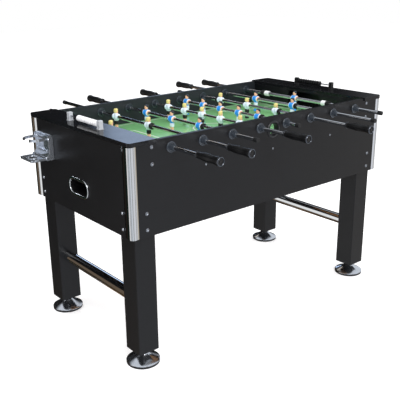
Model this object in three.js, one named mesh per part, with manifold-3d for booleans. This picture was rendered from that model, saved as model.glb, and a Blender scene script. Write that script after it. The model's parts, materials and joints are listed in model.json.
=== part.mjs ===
// Foosball table: a black cabinet on four legs, eight playing rods that slide and spin,
// twenty-two figures, two bead scorers, a folding cup holder and screw-in feet.
// Millimetres. +X runs along the table to the right-hand goal, +Y away from the player,
// +Z up. The origin is on the floor, under the centre of the whole object's bounding box.
import * as THREE from "three";
import { mergeVertices } from "three/addons/utils/BufferGeometryUtils.js";
import Module from "manifold-3d";

// Driving dimensions of the cabinet.
const GAP = 0.3;
const TOP_HEIGHT = 910;
const BOARD_THICKNESS = 15;
const BOARD_LENGTH = 1424;
const BOARD_WIDTH = 748;
const CABINET_LENGTH = 1412;
const CABINET_WIDTH = 736;
const CABINET_BOTTOM = 548;
const PANEL_THICKNESS = 18;
const SIDE_TOP = 905;
const CORNER_RADIUS = 14;
const PITCH_LENGTH = 1180;
const PITCH_TOP = 798;
const PITCH_THICKNESS = 12;
const LEDGE_SIZE = 20;
const GOAL_WALL_THICKNESS = 12;
const GOAL_WIDTH = 204;
const GOAL_TOP = 888;
const RETURN_OPENING = { width: 130, height: 58, height_above_floor: 665, corner: 26 };
const ENTRY_HOLE = { radius: 25, height: 853 };

// Legs, feet and stretchers.
const LEG_SIZE = 92;
const LEG_BOTTOM = 64;
const LEG_TOP = 690;
const FOOT_RADIUS = 67;
const NECK_RADIUS = 16;
const STUD_RADIUS = 6;
const STUD_LENGTH = 50;
const STRETCHER_RADIUS = 25;
const STRETCHER_WALL = 2;
const STRETCHER_HEIGHT = 268;

// Rods. A rod's travel each way is what is left between its outer stop and the bearing nose.
const ROD_PITCH = 150;
const ROD_HEIGHT = 868;
const ROD_RADIUS = 8;
const BORE_RADIUS = 8.7;
const BEARING = { flange: 21, flange_depth: 4, nose: 11.5, outer_nose: 26, inner_nose: 22 };
const CAP = { radius: 9.5, length: 20 };
const HANDLE_LENGTH = 125;
const STOP_ALLOWANCE = 32;
const GOALIE_STOP = 228;

// Figures.
const FIGURE = { head_top: 35, foot: 62, width: 22, sleeve: 34, hub: 12.5 };

// Each rod from the left-hand goal: the team, the number of figures, the spacing between
// them, how far the rod is pushed from its middle place, and how far its handle and its end
// cap stay clear of the bearings when it is pushed all the way.
const RODS = [
  { team: "white", figures: 1, spacing: 0, rest: 30, handle_gap: 53, cap_gap: 4 },
  { team: "white", figures: 2, spacing: 244, rest: 103, handle_gap: 45, cap_gap: 4 },
  { team: "blue", figures: 3, spacing: 188, rest: 19, handle_gap: 57, cap_gap: 7 },
  { team: "white", figures: 5, spacing: 123, rest: -4, handle_gap: 54, cap_gap: 4 },
  { team: "blue", figures: 5, spacing: 123, rest: 44, handle_gap: 57, cap_gap: 24 },
  { team: "white", figures: 3, spacing: 188, rest: 25, handle_gap: 84, cap_gap: 4 },
  { team: "blue", figures: 2, spacing: 244, rest: -2, handle_gap: 57, cap_gap: 4 },
  { team: "blue", figures: 1, spacing: 0, rest: 0, handle_gap: 84, cap_gap: 4 },
];

// Scorers.
const SCORER = { post: 18, post_height: 34, post_offset: 113, inset: 50, bar_height: 19.5, bar_radius: 3 };
const BEADS = { count: 10, width: 15.2, radius: 12, neck: 6, bore: 3.6 };

// Cup holder on the left-hand end.
const HOLDER = { centre_y: 250, width: 120, bottom: 739, top: 842, sheet: 3, ear: 38 };
const RING = { height: 826, pivot_out: 18, arm_half: 46, arm_length: 31, gap_half: 27, wire: 4 };
const TRAY = { pivot_out: 32, pivot_height: 750.5, width: 106, length: 62, thickness: 8, drop: 0 };

// The cup holder sticks out past the left end only, and the far handles reach further than
// the near ones, so the table's own centre lies off the middle of the bounding box.
const TABLE_CENTRE = [46, -31, 0];

const wasm = await Module();
wasm.setup();

const paints = {
  laminate: new THREE.MeshStandardMaterial({ color: 0x1b1b1d, roughness: 0.45 }),
  chrome: new THREE.MeshStandardMaterial({ color: 0xc9cbce, roughness: 0.12, metalness: 1 }),
  black_plastic: new THREE.MeshStandardMaterial({ color: 0x151517, roughness: 0.5 }),
  silver_plastic: new THREE.MeshStandardMaterial({ color: 0xd8dadd, roughness: 0.4 }),
  pitch_green: new THREE.MeshStandardMaterial({ color: 0x3f9a3a, roughness: 0.3 }),
  white_shirt: new THREE.MeshStandardMaterial({ color: 0xe9edf2, roughness: 0.4 }),
  blue_shirt: new THREE.MeshStandardMaterial({ color: 0x2277c8, roughness: 0.4 }),
  bead_white: new THREE.MeshStandardMaterial({ color: 0xf2f2f2, roughness: 0.35 }),
};

function toSolid(geometry) {
  const bare = geometry.clone();
  bare.deleteAttribute("normal");
  bare.deleteAttribute("uv");
  const merged = mergeVertices(bare, 1e-4);
  return new wasm.Manifold(
    new wasm.Mesh({
      numProp: 3,
      vertProperties: merged.attributes.position.array,
      triVerts: new Uint32Array(merged.index.array),
    }),
  );
}

function toGeometry(solid) {
  const mesh = solid.getMesh();
  const geometry = new THREE.BufferGeometry();
  geometry.setAttribute("position", new THREE.BufferAttribute(mesh.vertProperties, 3));
  geometry.setIndex(new THREE.BufferAttribute(mesh.triVerts, 1));
  return geometry;
}

// A box from its low and high corners.
function box(low, high) {
  const size = high.map((value, axis) => value - low[axis]);
  const centre = high.map((value, axis) => (value + low[axis]) / 2);
  return new THREE.BoxGeometry(...size).translate(...centre);
}

// A cylinder along Y between two Y values.
function cylinderY(radius, from, to, segments = 12) {
  const middle = (from + to) / 2;
  return new THREE.CylinderGeometry(radius, radius, to - from, segments).translate(0, middle, 0);
}

// A profile of [radius, y] points turned about the Y axis.
function turned(points, segments = 12) {
  const profile = points.map(([radius, along]) => new THREE.Vector2(radius, along));
  return new THREE.LatheGeometry(profile, segments);
}

function roundedRectangle(width, height, corner) {
  const shape = new THREE.Shape();
  const [x, y] = [width / 2, height / 2];
  shape.moveTo(-x + corner, -y);
  shape.absarc(x - corner, -y + corner, corner, -Math.PI / 2, 0);
  shape.absarc(x - corner, y - corner, corner, 0, Math.PI / 2);
  shape.absarc(-x + corner, y - corner, corner, Math.PI / 2, Math.PI);
  shape.absarc(-x + corner, -y + corner, corner, Math.PI, Math.PI * 1.5);
  return shape;
}

function extrudeUp(shape, from, to, curveSegments = 4) {
  const settings = { depth: to - from, bevelEnabled: false, curveSegments };
  return new THREE.ExtrudeGeometry(shape, settings).translate(0, 0, from);
}

const table = new THREE.Group();
table.position.set(...TABLE_CENTRE);

function addPart(name, geometry, material, position = [0, 0, 0]) {
  const mesh = new THREE.Mesh(geometry, material);
  mesh.name = name;
  mesh.position.set(...position);
  table.add(mesh);
}

// What each rod works out to, along its own line, with 0 at the rod's middle place.
const innerFace = CABINET_WIDTH / 2 - PANEL_THICKNESS;
const outerFace = CABINET_WIDTH / 2;

function rodPlan(rod, index) {
  const outermost = ((rod.figures - 1) / 2) * rod.spacing + STOP_ALLOWANCE;
  const stop = rod.figures === 1 ? GOALIE_STOP : outermost;
  const travel = innerFace - BEARING.inner_nose - stop;
  const noseEnd = outerFace + BEARING.outer_nose;
  const handleSide = rod.team === "white" ? -1 : 1;
  return {
    x: (index - (RODS.length - 1) / 2) * ROD_PITCH,
    handleSide,
    handleStart: noseEnd + travel + rod.handle_gap,
    stubEnd: noseEnd + travel + rod.cap_gap + CAP.length,
    figures: [...Array(rod.figures).keys()].map((i) => (i - (rod.figures - 1) / 2) * rod.spacing),
  };
}

// A bearing: a round flange and a nose on both faces of the side wall, along Y from the wall.
function bearing(side) {
  const { flange, flange_depth, nose, outer_nose, inner_nose } = BEARING;
  const outer = outerFace;
  const inner = innerFace;
  const points = [
    [0, inner - inner_nose],
    [nose, inner - inner_nose],
    [nose, inner - flange_depth],
    [flange, inner - flange_depth],
    [flange, outer + flange_depth],
    [nose, outer + flange_depth],
    [nose, outer + outer_nose],
    [0, outer + outer_nose],
  ];
  const geometry = turned(points, 10);
  return side > 0 ? geometry : geometry.rotateZ(Math.PI);
}

function sidePanel(side) {
  const plan = new THREE.Shape();
  const half = CABINET_LENGTH / 2;
  plan.moveTo(-half, innerFace);
  plan.lineTo(half, innerFace);
  plan.lineTo(half, outerFace - CORNER_RADIUS);
  plan.absarc(half - CORNER_RADIUS, outerFace - CORNER_RADIUS, CORNER_RADIUS, 0, Math.PI / 2);
  plan.absarc(-half + CORNER_RADIUS, outerFace - CORNER_RADIUS, CORNER_RADIUS, Math.PI / 2, Math.PI);
  plan.closePath();
  const wall = extrudeUp(plan, CABINET_BOTTOM, SIDE_TOP);
  const ledgeTop = PITCH_TOP - PITCH_THICKNESS - GAP;
  const ledgeHalf = PITCH_LENGTH / 2;
  const ledge = box(
    [-ledgeHalf, innerFace - LEDGE_SIZE, ledgeTop - LEDGE_SIZE],
    [ledgeHalf, innerFace + 1, ledgeTop],
  );
  let solid = toSolid(wall).add(toSolid(ledge));
  const boardSeat = TOP_HEIGHT - BOARD_THICKNESS - GAP;
  for (const end of [-1, 1]) {
    const from = end * (PITCH_LENGTH / 2 - GAP);
    const to = end * (half + 1);
    const notch = box(
      [Math.min(from, to), innerFace - 1, boardSeat],
      [Math.max(from, to), outerFace + 1, SIDE_TOP + 1],
    );
    solid = solid.subtract(toSolid(notch));
  }
  if (side < 0) solid = toSolid(toGeometry(solid).rotateZ(Math.PI));
  RODS.forEach((rod, index) => {
    const { x } = rodPlan(rod, index);
    const bore = cylinderY(BORE_RADIUS, -600, 600, 10).translate(x, 0, ROD_HEIGHT);
    solid = solid.add(toSolid(bearing(side).translate(x, 0, ROD_HEIGHT)));
    solid = solid.subtract(toSolid(bore));
  });
  if (side < 0) {
    const entry = cylinderY(ENTRY_HOLE.radius, -600, 0, 20).translate(0, 0, ENTRY_HOLE.height);
    solid = solid.subtract(toSolid(entry));
  }
  return toGeometry(solid);
}

function endPanel(side) {
  const outer = CABINET_LENGTH / 2;
  const halfWidth = innerFace - GAP;
  const top = TOP_HEIGHT - BOARD_THICKNESS - GAP;
  const faces = [side * outer, side * (outer - PANEL_THICKNESS)].sort((a, b) => a - b);
  const wall = toSolid(box([faces[0], -halfWidth, CABINET_BOTTOM], [faces[1], halfWidth, top]));
  const { width, height, height_above_floor, corner } = RETURN_OPENING;
  const cut = extrudeUp(roundedRectangle(height, width, corner), -40, 40, 5)
    .rotateY(Math.PI / 2)
    .translate(side * outer, 0, height_above_floor);
  return toGeometry(wall.subtract(toSolid(cut)));
}

// The end board with the goal wall under its inner edge and the scorer standing on it.
function endBoard(side) {
  const outer = BOARD_LENGTH / 2;
  const inner = PITCH_LENGTH / 2;
  const halfWidth = BOARD_WIDTH / 2;
  const plan = new THREE.Shape();
  plan.moveTo(inner, -halfWidth);
  plan.absarc(outer - CORNER_RADIUS, -halfWidth + CORNER_RADIUS, CORNER_RADIUS, -Math.PI / 2, 0);
  plan.absarc(outer - CORNER_RADIUS, halfWidth - CORNER_RADIUS, CORNER_RADIUS, 0, Math.PI / 2);
  plan.lineTo(inner, halfWidth);
  plan.closePath();
  const underside = TOP_HEIGHT - BOARD_THICKNESS;
  const wall = box(
    [inner, -innerFace + GAP, PITCH_TOP + GAP],
    [inner + GOAL_WALL_THICKNESS, innerFace - GAP, underside + 1],
  );
  const mouth = box(
    [inner - 1, -GOAL_WIDTH / 2, PITCH_TOP - 1],
    [inner + GOAL_WALL_THICKNESS + 1, GOAL_WIDTH / 2, GOAL_TOP],
  );
  let solid = toSolid(extrudeUp(plan, underside, TOP_HEIGHT));
  solid = solid.add(toSolid(wall)).subtract(toSolid(mouth));
  const { post, post_height, post_offset, inset, bar_height, bar_radius } = SCORER;
  const scorerX = outer - inset;
  for (const place of [-post_offset, post_offset]) {
    const low = [scorerX - post / 2, place - post / 2, TOP_HEIGHT - 1];
    const high = [scorerX + post / 2, place + post / 2, TOP_HEIGHT + post_height];
    solid = solid.add(toSolid(box(low, high)));
  }
  const bar = cylinderY(bar_radius, -post_offset, post_offset, 8);
  solid = solid.add(toSolid(bar.translate(scorerX, 0, TOP_HEIGHT + bar_height)));
  const geometry = toGeometry(solid);
  return side > 0 ? geometry : geometry.rotateZ(Math.PI);
}

function leg() {
  const half = LEG_SIZE / 2;
  const post = box([-half, -half, LEG_BOTTOM + GAP], [half, half, LEG_TOP]);
  const bore = cylinderY(STUD_RADIUS + 1, 0, STUD_LENGTH + 5, 10)
    .rotateX(Math.PI / 2)
    .translate(0, 0, LEG_BOTTOM);
  return toGeometry(toSolid(post).subtract(toSolid(bore)));
}

// A levelling foot: a wide low cone, a short neck and the stud that screws into the leg.
function foot() {
  const points = [
    [0, 0],
    [FOOT_RADIUS - 3, 0],
    [FOOT_RADIUS, 3],
    [FOOT_RADIUS, 7],
    [FOOT_RADIUS * 0.9, 12],
    [FOOT_RADIUS * 0.66, 21],
    [FOOT_RADIUS * 0.45, 30],
    [FOOT_RADIUS * 0.3, 39],
    [NECK_RADIUS, 43],
    [NECK_RADIUS, LEG_BOTTOM],
    [STUD_RADIUS, LEG_BOTTOM],
    [STUD_RADIUS, LEG_BOTTOM + STUD_LENGTH],
    [0, LEG_BOTTOM + STUD_LENGTH],
  ];
  return turned(points, 14).rotateX(Math.PI / 2);
}

function stretcher(halfLength) {
  const inner = STRETCHER_RADIUS - STRETCHER_WALL;
  const points = [
    [inner, -halfLength],
    [STRETCHER_RADIUS, -halfLength],
    [STRETCHER_RADIUS, halfLength],
    [inner, halfLength],
    [inner, -halfLength],
  ];
  return turned(points, 16);
}

function rodTube(plan) {
  const end = plan.handleStart + HANDLE_LENGTH * 0.8;
  const points = [
    [0, -plan.stubEnd],
    [CAP.radius, -plan.stubEnd],
    [CAP.radius, -plan.stubEnd + CAP.length],
    [ROD_RADIUS, -plan.stubEnd + CAP.length],
    [ROD_RADIUS, end],
    [0, end],
  ];
  const geometry = turned(points);
  return plan.handleSide > 0 ? geometry : geometry.rotateZ(Math.PI);
}

// A hand-shaped grip with a blind bore for the rod.
function handle(plan) {
  const start = plan.handleStart;
  const length = HANDLE_LENGTH;
  const boreEnd = start + length * 0.8 + 1;
  const points = [
    [0, boreEnd],
    [BORE_RADIUS, boreEnd],
    [BORE_RADIUS, start],
    [13, start],
    [14, start + length * 0.12],
    [17, start + length * 0.4],
    [14.5, start + length * 0.75],
    [17.5, start + length * 0.92],
    [15, start + length],
    [0, start + length],
  ];
  const geometry = turned(points);
  return plan.handleSide > 0 ? geometry : geometry.rotateZ(Math.PI);
}

// A figure seen from the side, facing +X, with its rod through the chest.
function figure(facing) {
  const { head_top, foot, width, sleeve, hub } = FIGURE;
  const outline = new THREE.Shape();
  outline.moveTo(-7, head_top);
  outline.lineTo(-7, head_top - 16);
  outline.lineTo(-11, hub - 2);
  outline.lineTo(-11, -14);
  outline.lineTo(-6, -foot + 10);
  outline.lineTo(-9, -foot);
  outline.lineTo(9, -foot);
  outline.lineTo(9, -foot + 8);
  outline.lineTo(6, -foot + 12);
  outline.lineTo(11, -14);
  outline.lineTo(11, hub - 2);
  outline.lineTo(7, head_top - 16);
  outline.lineTo(7, head_top);
  outline.closePath();
  const settings = { depth: width, bevelEnabled: false };
  const body = new THREE.ExtrudeGeometry(outline, settings)
    .translate(0, 0, -width / 2)
    .rotateX(Math.PI / 2);
  const solid = toSolid(body)
    .add(toSolid(cylinderY(hub, -sleeve / 2, sleeve / 2, 10)))
    .subtract(toSolid(cylinderY(BORE_RADIUS, -sleeve, sleeve, 10)));
  const geometry = toGeometry(solid);
  return facing > 0 ? geometry : geometry.rotateZ(Math.PI);
}

function beadStack() {
  const { count, width, radius, neck, bore } = BEADS;
  const outside = [];
  for (let i = 0; i < count; i += 1) {
    outside.push([neck, i * width]);
    outside.push([radius, (i + 0.25) * width]);
    outside.push([radius, (i + 0.75) * width]);
  }
  const length = count * width;
  return turned([[bore, 0], ...outside, [neck, length], [bore, length], [bore, 0]], 10);
}

function holderBracket() {
  const { width, bottom, top, sheet, ear } = HOLDER;
  const back = box([-sheet, -width / 2, bottom], [0, width / 2, top]);
  const near = box([-ear, -width / 2, bottom], [0, -width / 2 + sheet, top]);
  const far = box([-ear, width / 2 - sheet, bottom], [0, width / 2, top]);
  return toGeometry(toSolid(back).add(toSolid(near)).add(toSolid(far)));
}

// Length of a pin that just clears both ears of the bracket.
const pinHalf = HOLDER.width / 2 - HOLDER.sheet - 0.4;

// The ring: two arms that curve round a cup and stop short of each other, about its pin.
function holderRing() {
  const { arm_half, arm_length, gap_half, wire } = RING;
  const sweep = Math.acos(gap_half / arm_half);
  const route = new THREE.CurvePath();
  const tips = [...Array(9).keys()].map((i) => {
    const angle = sweep * (1 - i / 8);
    return new THREE.Vector3(-arm_length - arm_half * Math.sin(angle), arm_half * Math.cos(angle), 0);
  });
  const far = new THREE.CatmullRomCurve3(tips);
  const near = new THREE.CatmullRomCurve3(tips.map((p) => new THREE.Vector3(p.x, -p.y, 0)).reverse());
  const corner = 10;
  const rootFar = new THREE.Vector3(0, arm_half, 0);
  const rootNear = new THREE.Vector3(0, -arm_half, 0);
  const turnFar = new THREE.QuadraticBezierCurve3(
    new THREE.Vector3(-corner, arm_half, 0),
    rootFar,
    new THREE.Vector3(0, arm_half - corner, 0),
  );
  const turnNear = new THREE.QuadraticBezierCurve3(
    new THREE.Vector3(0, -arm_half + corner, 0),
    rootNear,
    new THREE.Vector3(-corner, -arm_half, 0),
  );
  const pieces = [
    far,
    new THREE.LineCurve3(tips.at(-1), turnFar.v0),
    turnFar,
    new THREE.LineCurve3(turnFar.v2, turnNear.v0),
    turnNear,
    new THREE.LineCurve3(turnNear.v2, near.points[0]),
    near,
  ];
  pieces.forEach((piece) => route.add(piece));
  const section = new THREE.Shape();
  section.absarc(0, 0, wire, 0, Math.PI * 2);
  const settings = { steps: 40, extrudePath: route, curveSegments: 4 };
  const wireBody = new THREE.ExtrudeGeometry(section, settings);
  return toGeometry(toSolid(wireBody).add(toSolid(cylinderY(wire, -pinHalf, pinHalf, 8))));
}

// The tray: a plate level with its hinge pin.
function holderTray() {
  const { width, length, thickness, drop } = TRAY;
  const plate = box([-length - 4, -width / 2, -drop - thickness], [-4, width / 2, -drop]);
  const knuckle = box([-8, -width / 2, -drop - thickness], [4, width / 2, 0]);
  const pin = cylinderY(3.5, -pinHalf, pinHalf, 8);
  return toGeometry(toSolid(plate).add(toSolid(knuckle)).add(toSolid(pin)));
}

addPart("near_side_panel", sidePanel(-1), paints.laminate);
addPart("far_side_panel", sidePanel(1), paints.laminate);

const pitchHalf = [PITCH_LENGTH / 2 + GOAL_WALL_THICKNESS, innerFace - GAP];
const pitch = box([-pitchHalf[0], -pitchHalf[1], PITCH_TOP - PITCH_THICKNESS], [...pitchHalf, PITCH_TOP]);
addPart("playfield", pitch, paints.pitch_green);

const legX = CABINET_LENGTH / 2 - PANEL_THICKNESS - GAP - LEG_SIZE / 2;
const legY = innerFace - GAP - LEG_SIZE / 2;

for (const [endName, side] of [["left", -1], ["right", 1]]) {
  addPart(`${endName}_end_panel`, endPanel(side), paints.laminate);
  addPart(`${endName}_end_board`, endBoard(side), paints.laminate);
  const beadRest = (SCORER.post_offset - SCORER.post / 2 - GAP) * side;
  const beadStart = side > 0 ? beadRest - BEADS.count * BEADS.width : beadRest;
  const scorerX = side * (BOARD_LENGTH / 2 - SCORER.inset);
  const beadPlace = [scorerX, beadStart, TOP_HEIGHT + SCORER.bar_height];
  addPart(`${endName}_score_beads`, beadStack(), side < 0 ? paints.bead_white : paints.black_plastic, beadPlace);
  const span = legY - LEG_SIZE / 2 - GAP;
  addPart(`${endName}_stretcher`, stretcher(span), paints.chrome, [side * legX, 0, STRETCHER_HEIGHT]);
  for (const [sideName, across] of [["near", -1], ["far", 1]]) {
    const place = [side * legX, across * legY, 0];
    addPart(`${sideName}_${endName}_leg`, leg(), paints.laminate, place);
    addPart(`${sideName}_${endName}_foot`, foot(), paints.chrome, place);
  }
}

RODS.forEach((rod, index) => {
  const plan = rodPlan(rod, index);
  const number = index + 1;
  const place = [plan.x, rod.rest, ROD_HEIGHT];
  addPart(`rod_${number}_tube`, rodTube(plan), paints.chrome, place);
  addPart(`rod_${number}_handle`, handle(plan), paints.black_plastic, place);
  const paint = rod.team === "white" ? paints.white_shirt : paints.blue_shirt;
  const facing = rod.team === "white" ? 1 : -1;
  plan.figures.forEach((along, order) => {
    const name = `rod_${number}_${rod.team}_figure_${order + 1}`;
    addPart(name, figure(facing), paint, [plan.x, rod.rest + along, ROD_HEIGHT]);
  });
});

const endFace = -CABINET_LENGTH / 2 - GAP;
addPart("cup_holder_bracket", holderBracket(), paints.chrome, [endFace, HOLDER.centre_y, 0]);
const ringPlace = [endFace - RING.pivot_out, HOLDER.centre_y, RING.height];
addPart("cup_holder_ring", holderRing(), paints.chrome, ringPlace);
const trayPlace = [endFace - TRAY.pivot_out, HOLDER.centre_y, TRAY.pivot_height];
addPart("cup_holder_tray", holderTray(), paints.chrome, trayPlace);

export default table;
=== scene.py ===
# Foosball table: black cabinet, eight chrome rods with figures, scorers and a cup holder.
# Metres, +Z up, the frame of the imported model. Settings given in millimetres say so.
import json
import math

import bmesh
import bpy
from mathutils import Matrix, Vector


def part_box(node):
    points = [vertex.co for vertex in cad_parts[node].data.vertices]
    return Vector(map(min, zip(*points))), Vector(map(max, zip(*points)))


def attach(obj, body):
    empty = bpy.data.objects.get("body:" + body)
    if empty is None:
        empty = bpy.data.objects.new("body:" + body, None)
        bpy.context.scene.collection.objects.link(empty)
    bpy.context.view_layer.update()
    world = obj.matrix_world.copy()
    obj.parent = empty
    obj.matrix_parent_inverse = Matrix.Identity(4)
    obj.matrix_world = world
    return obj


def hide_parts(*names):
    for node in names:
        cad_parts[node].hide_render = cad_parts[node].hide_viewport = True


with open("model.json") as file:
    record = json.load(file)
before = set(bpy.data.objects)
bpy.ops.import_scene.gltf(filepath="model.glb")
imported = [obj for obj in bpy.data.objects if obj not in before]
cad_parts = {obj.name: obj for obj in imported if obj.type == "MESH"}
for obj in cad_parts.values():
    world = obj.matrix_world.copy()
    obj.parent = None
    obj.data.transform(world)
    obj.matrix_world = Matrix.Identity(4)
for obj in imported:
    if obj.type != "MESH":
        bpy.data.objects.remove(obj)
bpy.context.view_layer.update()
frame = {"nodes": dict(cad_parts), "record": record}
print("frame loaded")

mm = 0.001
bpy.ops.object.select_all(action="DESELECT")


def edit(piece):
    bpy.ops.object.select_all(action="DESELECT")
    bpy.context.view_layer.objects.active = piece
    piece.select_set(True)
    bpy.ops.object.mode_set(mode="EDIT")
    bpy.ops.mesh.select_mode(type="FACE")
    bpy.ops.mesh.select_all(action="DESELECT")


def leaveEdit():
    bpy.ops.object.mode_set(mode="OBJECT")


def pick(piece, kind, test):
    # selects the faces, edges or vertices that pass the test, in edit mode
    bpy.ops.mesh.select_all(action="DESELECT")
    bpy.ops.mesh.select_mode(type={"faces": "FACE", "edges": "EDGE", "verts": "VERT"}[kind])
    mesh = bmesh.from_edit_mesh(piece.data)
    for item in getattr(mesh, kind):
        if test(item):
            item.select_set(True)
    bmesh.update_edit_mesh(piece.data)


def middleOf(item):
    corners = [v.co for v in item.verts]
    return sum(corners, Vector()) / len(corners)


def runsAlong(edge, axis):
    way = (edge.verts[1].co - edge.verts[0].co).normalized()
    return abs(way[axis]) > 0.999


def applyModifier(piece, kind, **settings):
    bpy.context.view_layer.objects.active = piece
    modifier = piece.modifiers.new(kind.lower(), kind)
    for key, value in settings.items():
        setattr(modifier, key, value)
    bpy.ops.object.modifier_apply(modifier=modifier.name)


def smooth(piece, angle=35):
    bpy.ops.object.select_all(action="DESELECT")
    piece.select_set(True)
    bpy.context.view_layer.objects.active = piece
    bpy.ops.object.shade_smooth_by_angle(angle=math.radians(angle))


def outward(piece):
    # merges doubled points and turns every face outwards
    edit(piece)
    bpy.ops.mesh.select_all(action="SELECT")
    bpy.ops.mesh.remove_doubles(threshold=0.00001)
    bpy.ops.mesh.normals_make_consistent(inside=False)
    leaveEdit()


def settle(piece):
    # puts the place, turn and size of a piece into its mesh
    bpy.ops.object.select_all(action="DESELECT")
    piece.select_set(True)
    bpy.context.view_layer.objects.active = piece
    bpy.ops.object.transform_apply(location=True, rotation=True, scale=True)


def copyOf(piece, name, shift=(0, 0, 0), turn=0.0, flip=None):
    # a copy with its own mesh, turned about Z or flipped along an axis first, then shifted
    twin = piece.copy()
    twin.data = piece.data.copy()
    twin.name = name
    bpy.context.collection.objects.link(twin)
    twin.rotation_euler.z = turn
    if flip is not None:
        twin.scale[flip] = -1
    twin.location = shift
    settle(twin)
    if flip is not None:
        outward(twin)
        smooth(twin)
    return twin


def joined(name, parts):
    bpy.ops.object.select_all(action="DESELECT")
    for part in parts:
        part.select_set(True)
    bpy.context.view_layer.objects.active = parts[0]
    if len(parts) > 1:
        bpy.ops.object.join()
    parts[0].name = name
    return parts[0]


def dress(piece, body, material, replaces=()):
    if material is not None:
        piece.data.materials.clear()
        piece.data.materials.append(material)
        # big flat faces stay flat in shading, and only their eased edges turn
        applyModifier(piece, "WEIGHTED_NORMAL", keep_sharp=True)
    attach(piece, body)
    if replaces:
        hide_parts(*replaces)
    return piece


def block(name, low, high, ease=0.0, steps=2):
    # a board or bar between two corners, with its edges eased
    low, high = Vector(low), Vector(high)
    bpy.ops.mesh.primitive_cube_add(size=1, location=(low + high) / 2)
    piece = bpy.context.object
    piece.name = name
    piece.scale = high - low
    settle(piece)
    if ease:
        edit(piece)
        bpy.ops.mesh.select_all(action="SELECT")
        bpy.ops.mesh.bevel(offset=ease, segments=steps, profile=0.5)
        leaveEdit()
    return piece


def laid(piece, turn=(0, 0, 0), place=(0, 0, 0)):
    # turns a piece, moves it, and puts both into its mesh
    piece.rotation_euler = turn
    piece.location = place
    settle(piece)
    return piece


def inMm(points):
    return [(radius * mm, along * mm) for radius, along in points]


def turned(name, profile, sides=40):
    # a disc pulled along and resized ring by ring; profile holds (radius, along) in metres
    (radius, along), rest = profile[0], profile[1:]
    bpy.ops.mesh.primitive_circle_add(
        vertices=sides, radius=max(radius, 1e-5), fill_type="NGON", location=(0, 0, along)
    )
    piece = bpy.context.object
    piece.name = name
    settle(piece)
    edit(piece)
    bpy.ops.mesh.select_all(action="SELECT")
    centre = Vector((0, 0, along))
    for nextRadius, nextAlong in rest:
        pull = (0, 0, nextAlong - along)
        bpy.ops.mesh.extrude_region_move(TRANSFORM_OT_translate={"value": pull})
        centre.z = nextAlong
        ratio = max(nextRadius, 1e-5) / max(radius, 1e-5)
        bpy.ops.transform.resize(value=(ratio, ratio, 1), center_override=centre)
        radius, along = nextRadius, nextAlong
    leaveEdit()
    outward(piece)
    smooth(piece, 40)
    return piece


def cutAway(piece, cutter):
    applyModifier(piece, "BOOLEAN", operation="DIFFERENCE", solver="EXACT", object=cutter)
    bpy.data.objects.remove(cutter)


quarter = math.pi / 2
lyingY = (quarter, 0, 0)  # turns what was made along Z to lie along Y


def drill(piece, radius, depth, place=(0, 0, 0), turn=(0, 0, 0), sides=32):
    # a round hole, or one with a few sides
    bpy.ops.mesh.primitive_cylinder_add(
        vertices=sides, radius=radius, depth=depth, location=place, rotation=turn
    )
    cutAway(piece, bpy.context.object)


def hexColour(code):
    # sRGB hex to linear RGBA
    channels = [int(code[i:i + 2], 16) / 255 for i in (0, 2, 4)]
    linear = [c / 12.92 if c <= 0.04045 else ((c + 0.055) / 1.055) ** 2.4 for c in channels]
    return (*linear, 1.0)


def addNode(tree, kind, settings=None, inputs=None):
    node = tree.nodes.new(kind)
    for key, value in (settings or {}).items():
        setattr(node, key, value)
    for socket, value in (inputs or {}).items():
        if isinstance(value, bpy.types.NodeSocket):
            tree.links.new(value, node.inputs[socket])
        else:
            node.inputs[socket].default_value = value
    return node


def startMaterial(name, metallic=0.0, roughness=0.5, **sockets):
    material = bpy.data.materials.new(name)
    material.use_nodes = True
    tree = material.node_tree
    shader = tree.nodes["Principled BSDF"]
    shader.inputs["Metallic"].default_value = metallic
    shader.inputs["Roughness"].default_value = roughness
    for socket, value in sockets.items():
        shader.inputs[socket.replace("_", " ")].default_value = value
    place = addNode(tree, "ShaderNodeTexCoord").outputs["Object"]
    return material, tree, shader, place


def perFeature(sizeMm):
    # noise scale, per metre, for features of this size
    return 1000 / sizeMm


def melamineBoard(grainAxis, finish, dullest, shiniest, dark="0b0b0d", light="151619"):
    # melamine-faced fibreboard, pressed against an embossed plate: black, satin, with fine
    # wood pores along the board that catch the light
    name = finish + "MelamineBoard" + "XYZ"[grainAxis]
    material, tree, shader, place = startMaterial(name, roughness=0.34, Specular_IOR_Level=0.3)
    stretch = [perFeature(1.6)] * 3
    stretch[grainAxis] = perFeature(55)
    grainPlace = addNode(tree, "ShaderNodeMapping", None, {"Vector": place, "Scale": stretch})
    pores = addNode(
        tree, "ShaderNodeTexNoise", None,
        {"Vector": grainPlace.outputs[0], "Scale": 1.0, "Detail": 4.0, "Roughness": 0.62},
    )
    cloud = addNode(
        tree, "ShaderNodeTexNoise", None, {"Vector": place, "Scale": perFeature(140), "Detail": 2.0}
    )
    tone = addNode(
        tree, "ShaderNodeMix", {"data_type": "RGBA"},
        {0: pores.outputs["Fac"], 6: hexColour(dark), 7: hexColour(light)},
    )
    gloss = addNode(
        tree, "ShaderNodeMapRange", None,
        {"Value": cloud.outputs["Fac"], "To Min": shiniest, "To Max": dullest},
    )
    bump = addNode(
        tree, "ShaderNodeBump", None,
        {"Height": pores.outputs["Fac"], "Strength": 0.18, "Distance": 0.25 * mm},
    )
    tree.links.new(tone.outputs[2], shader.inputs["Base Color"])
    tree.links.new(gloss.outputs[0], shader.inputs["Roughness"])
    tree.links.new(bump.outputs[0], shader.inputs["Normal"])
    return material


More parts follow.
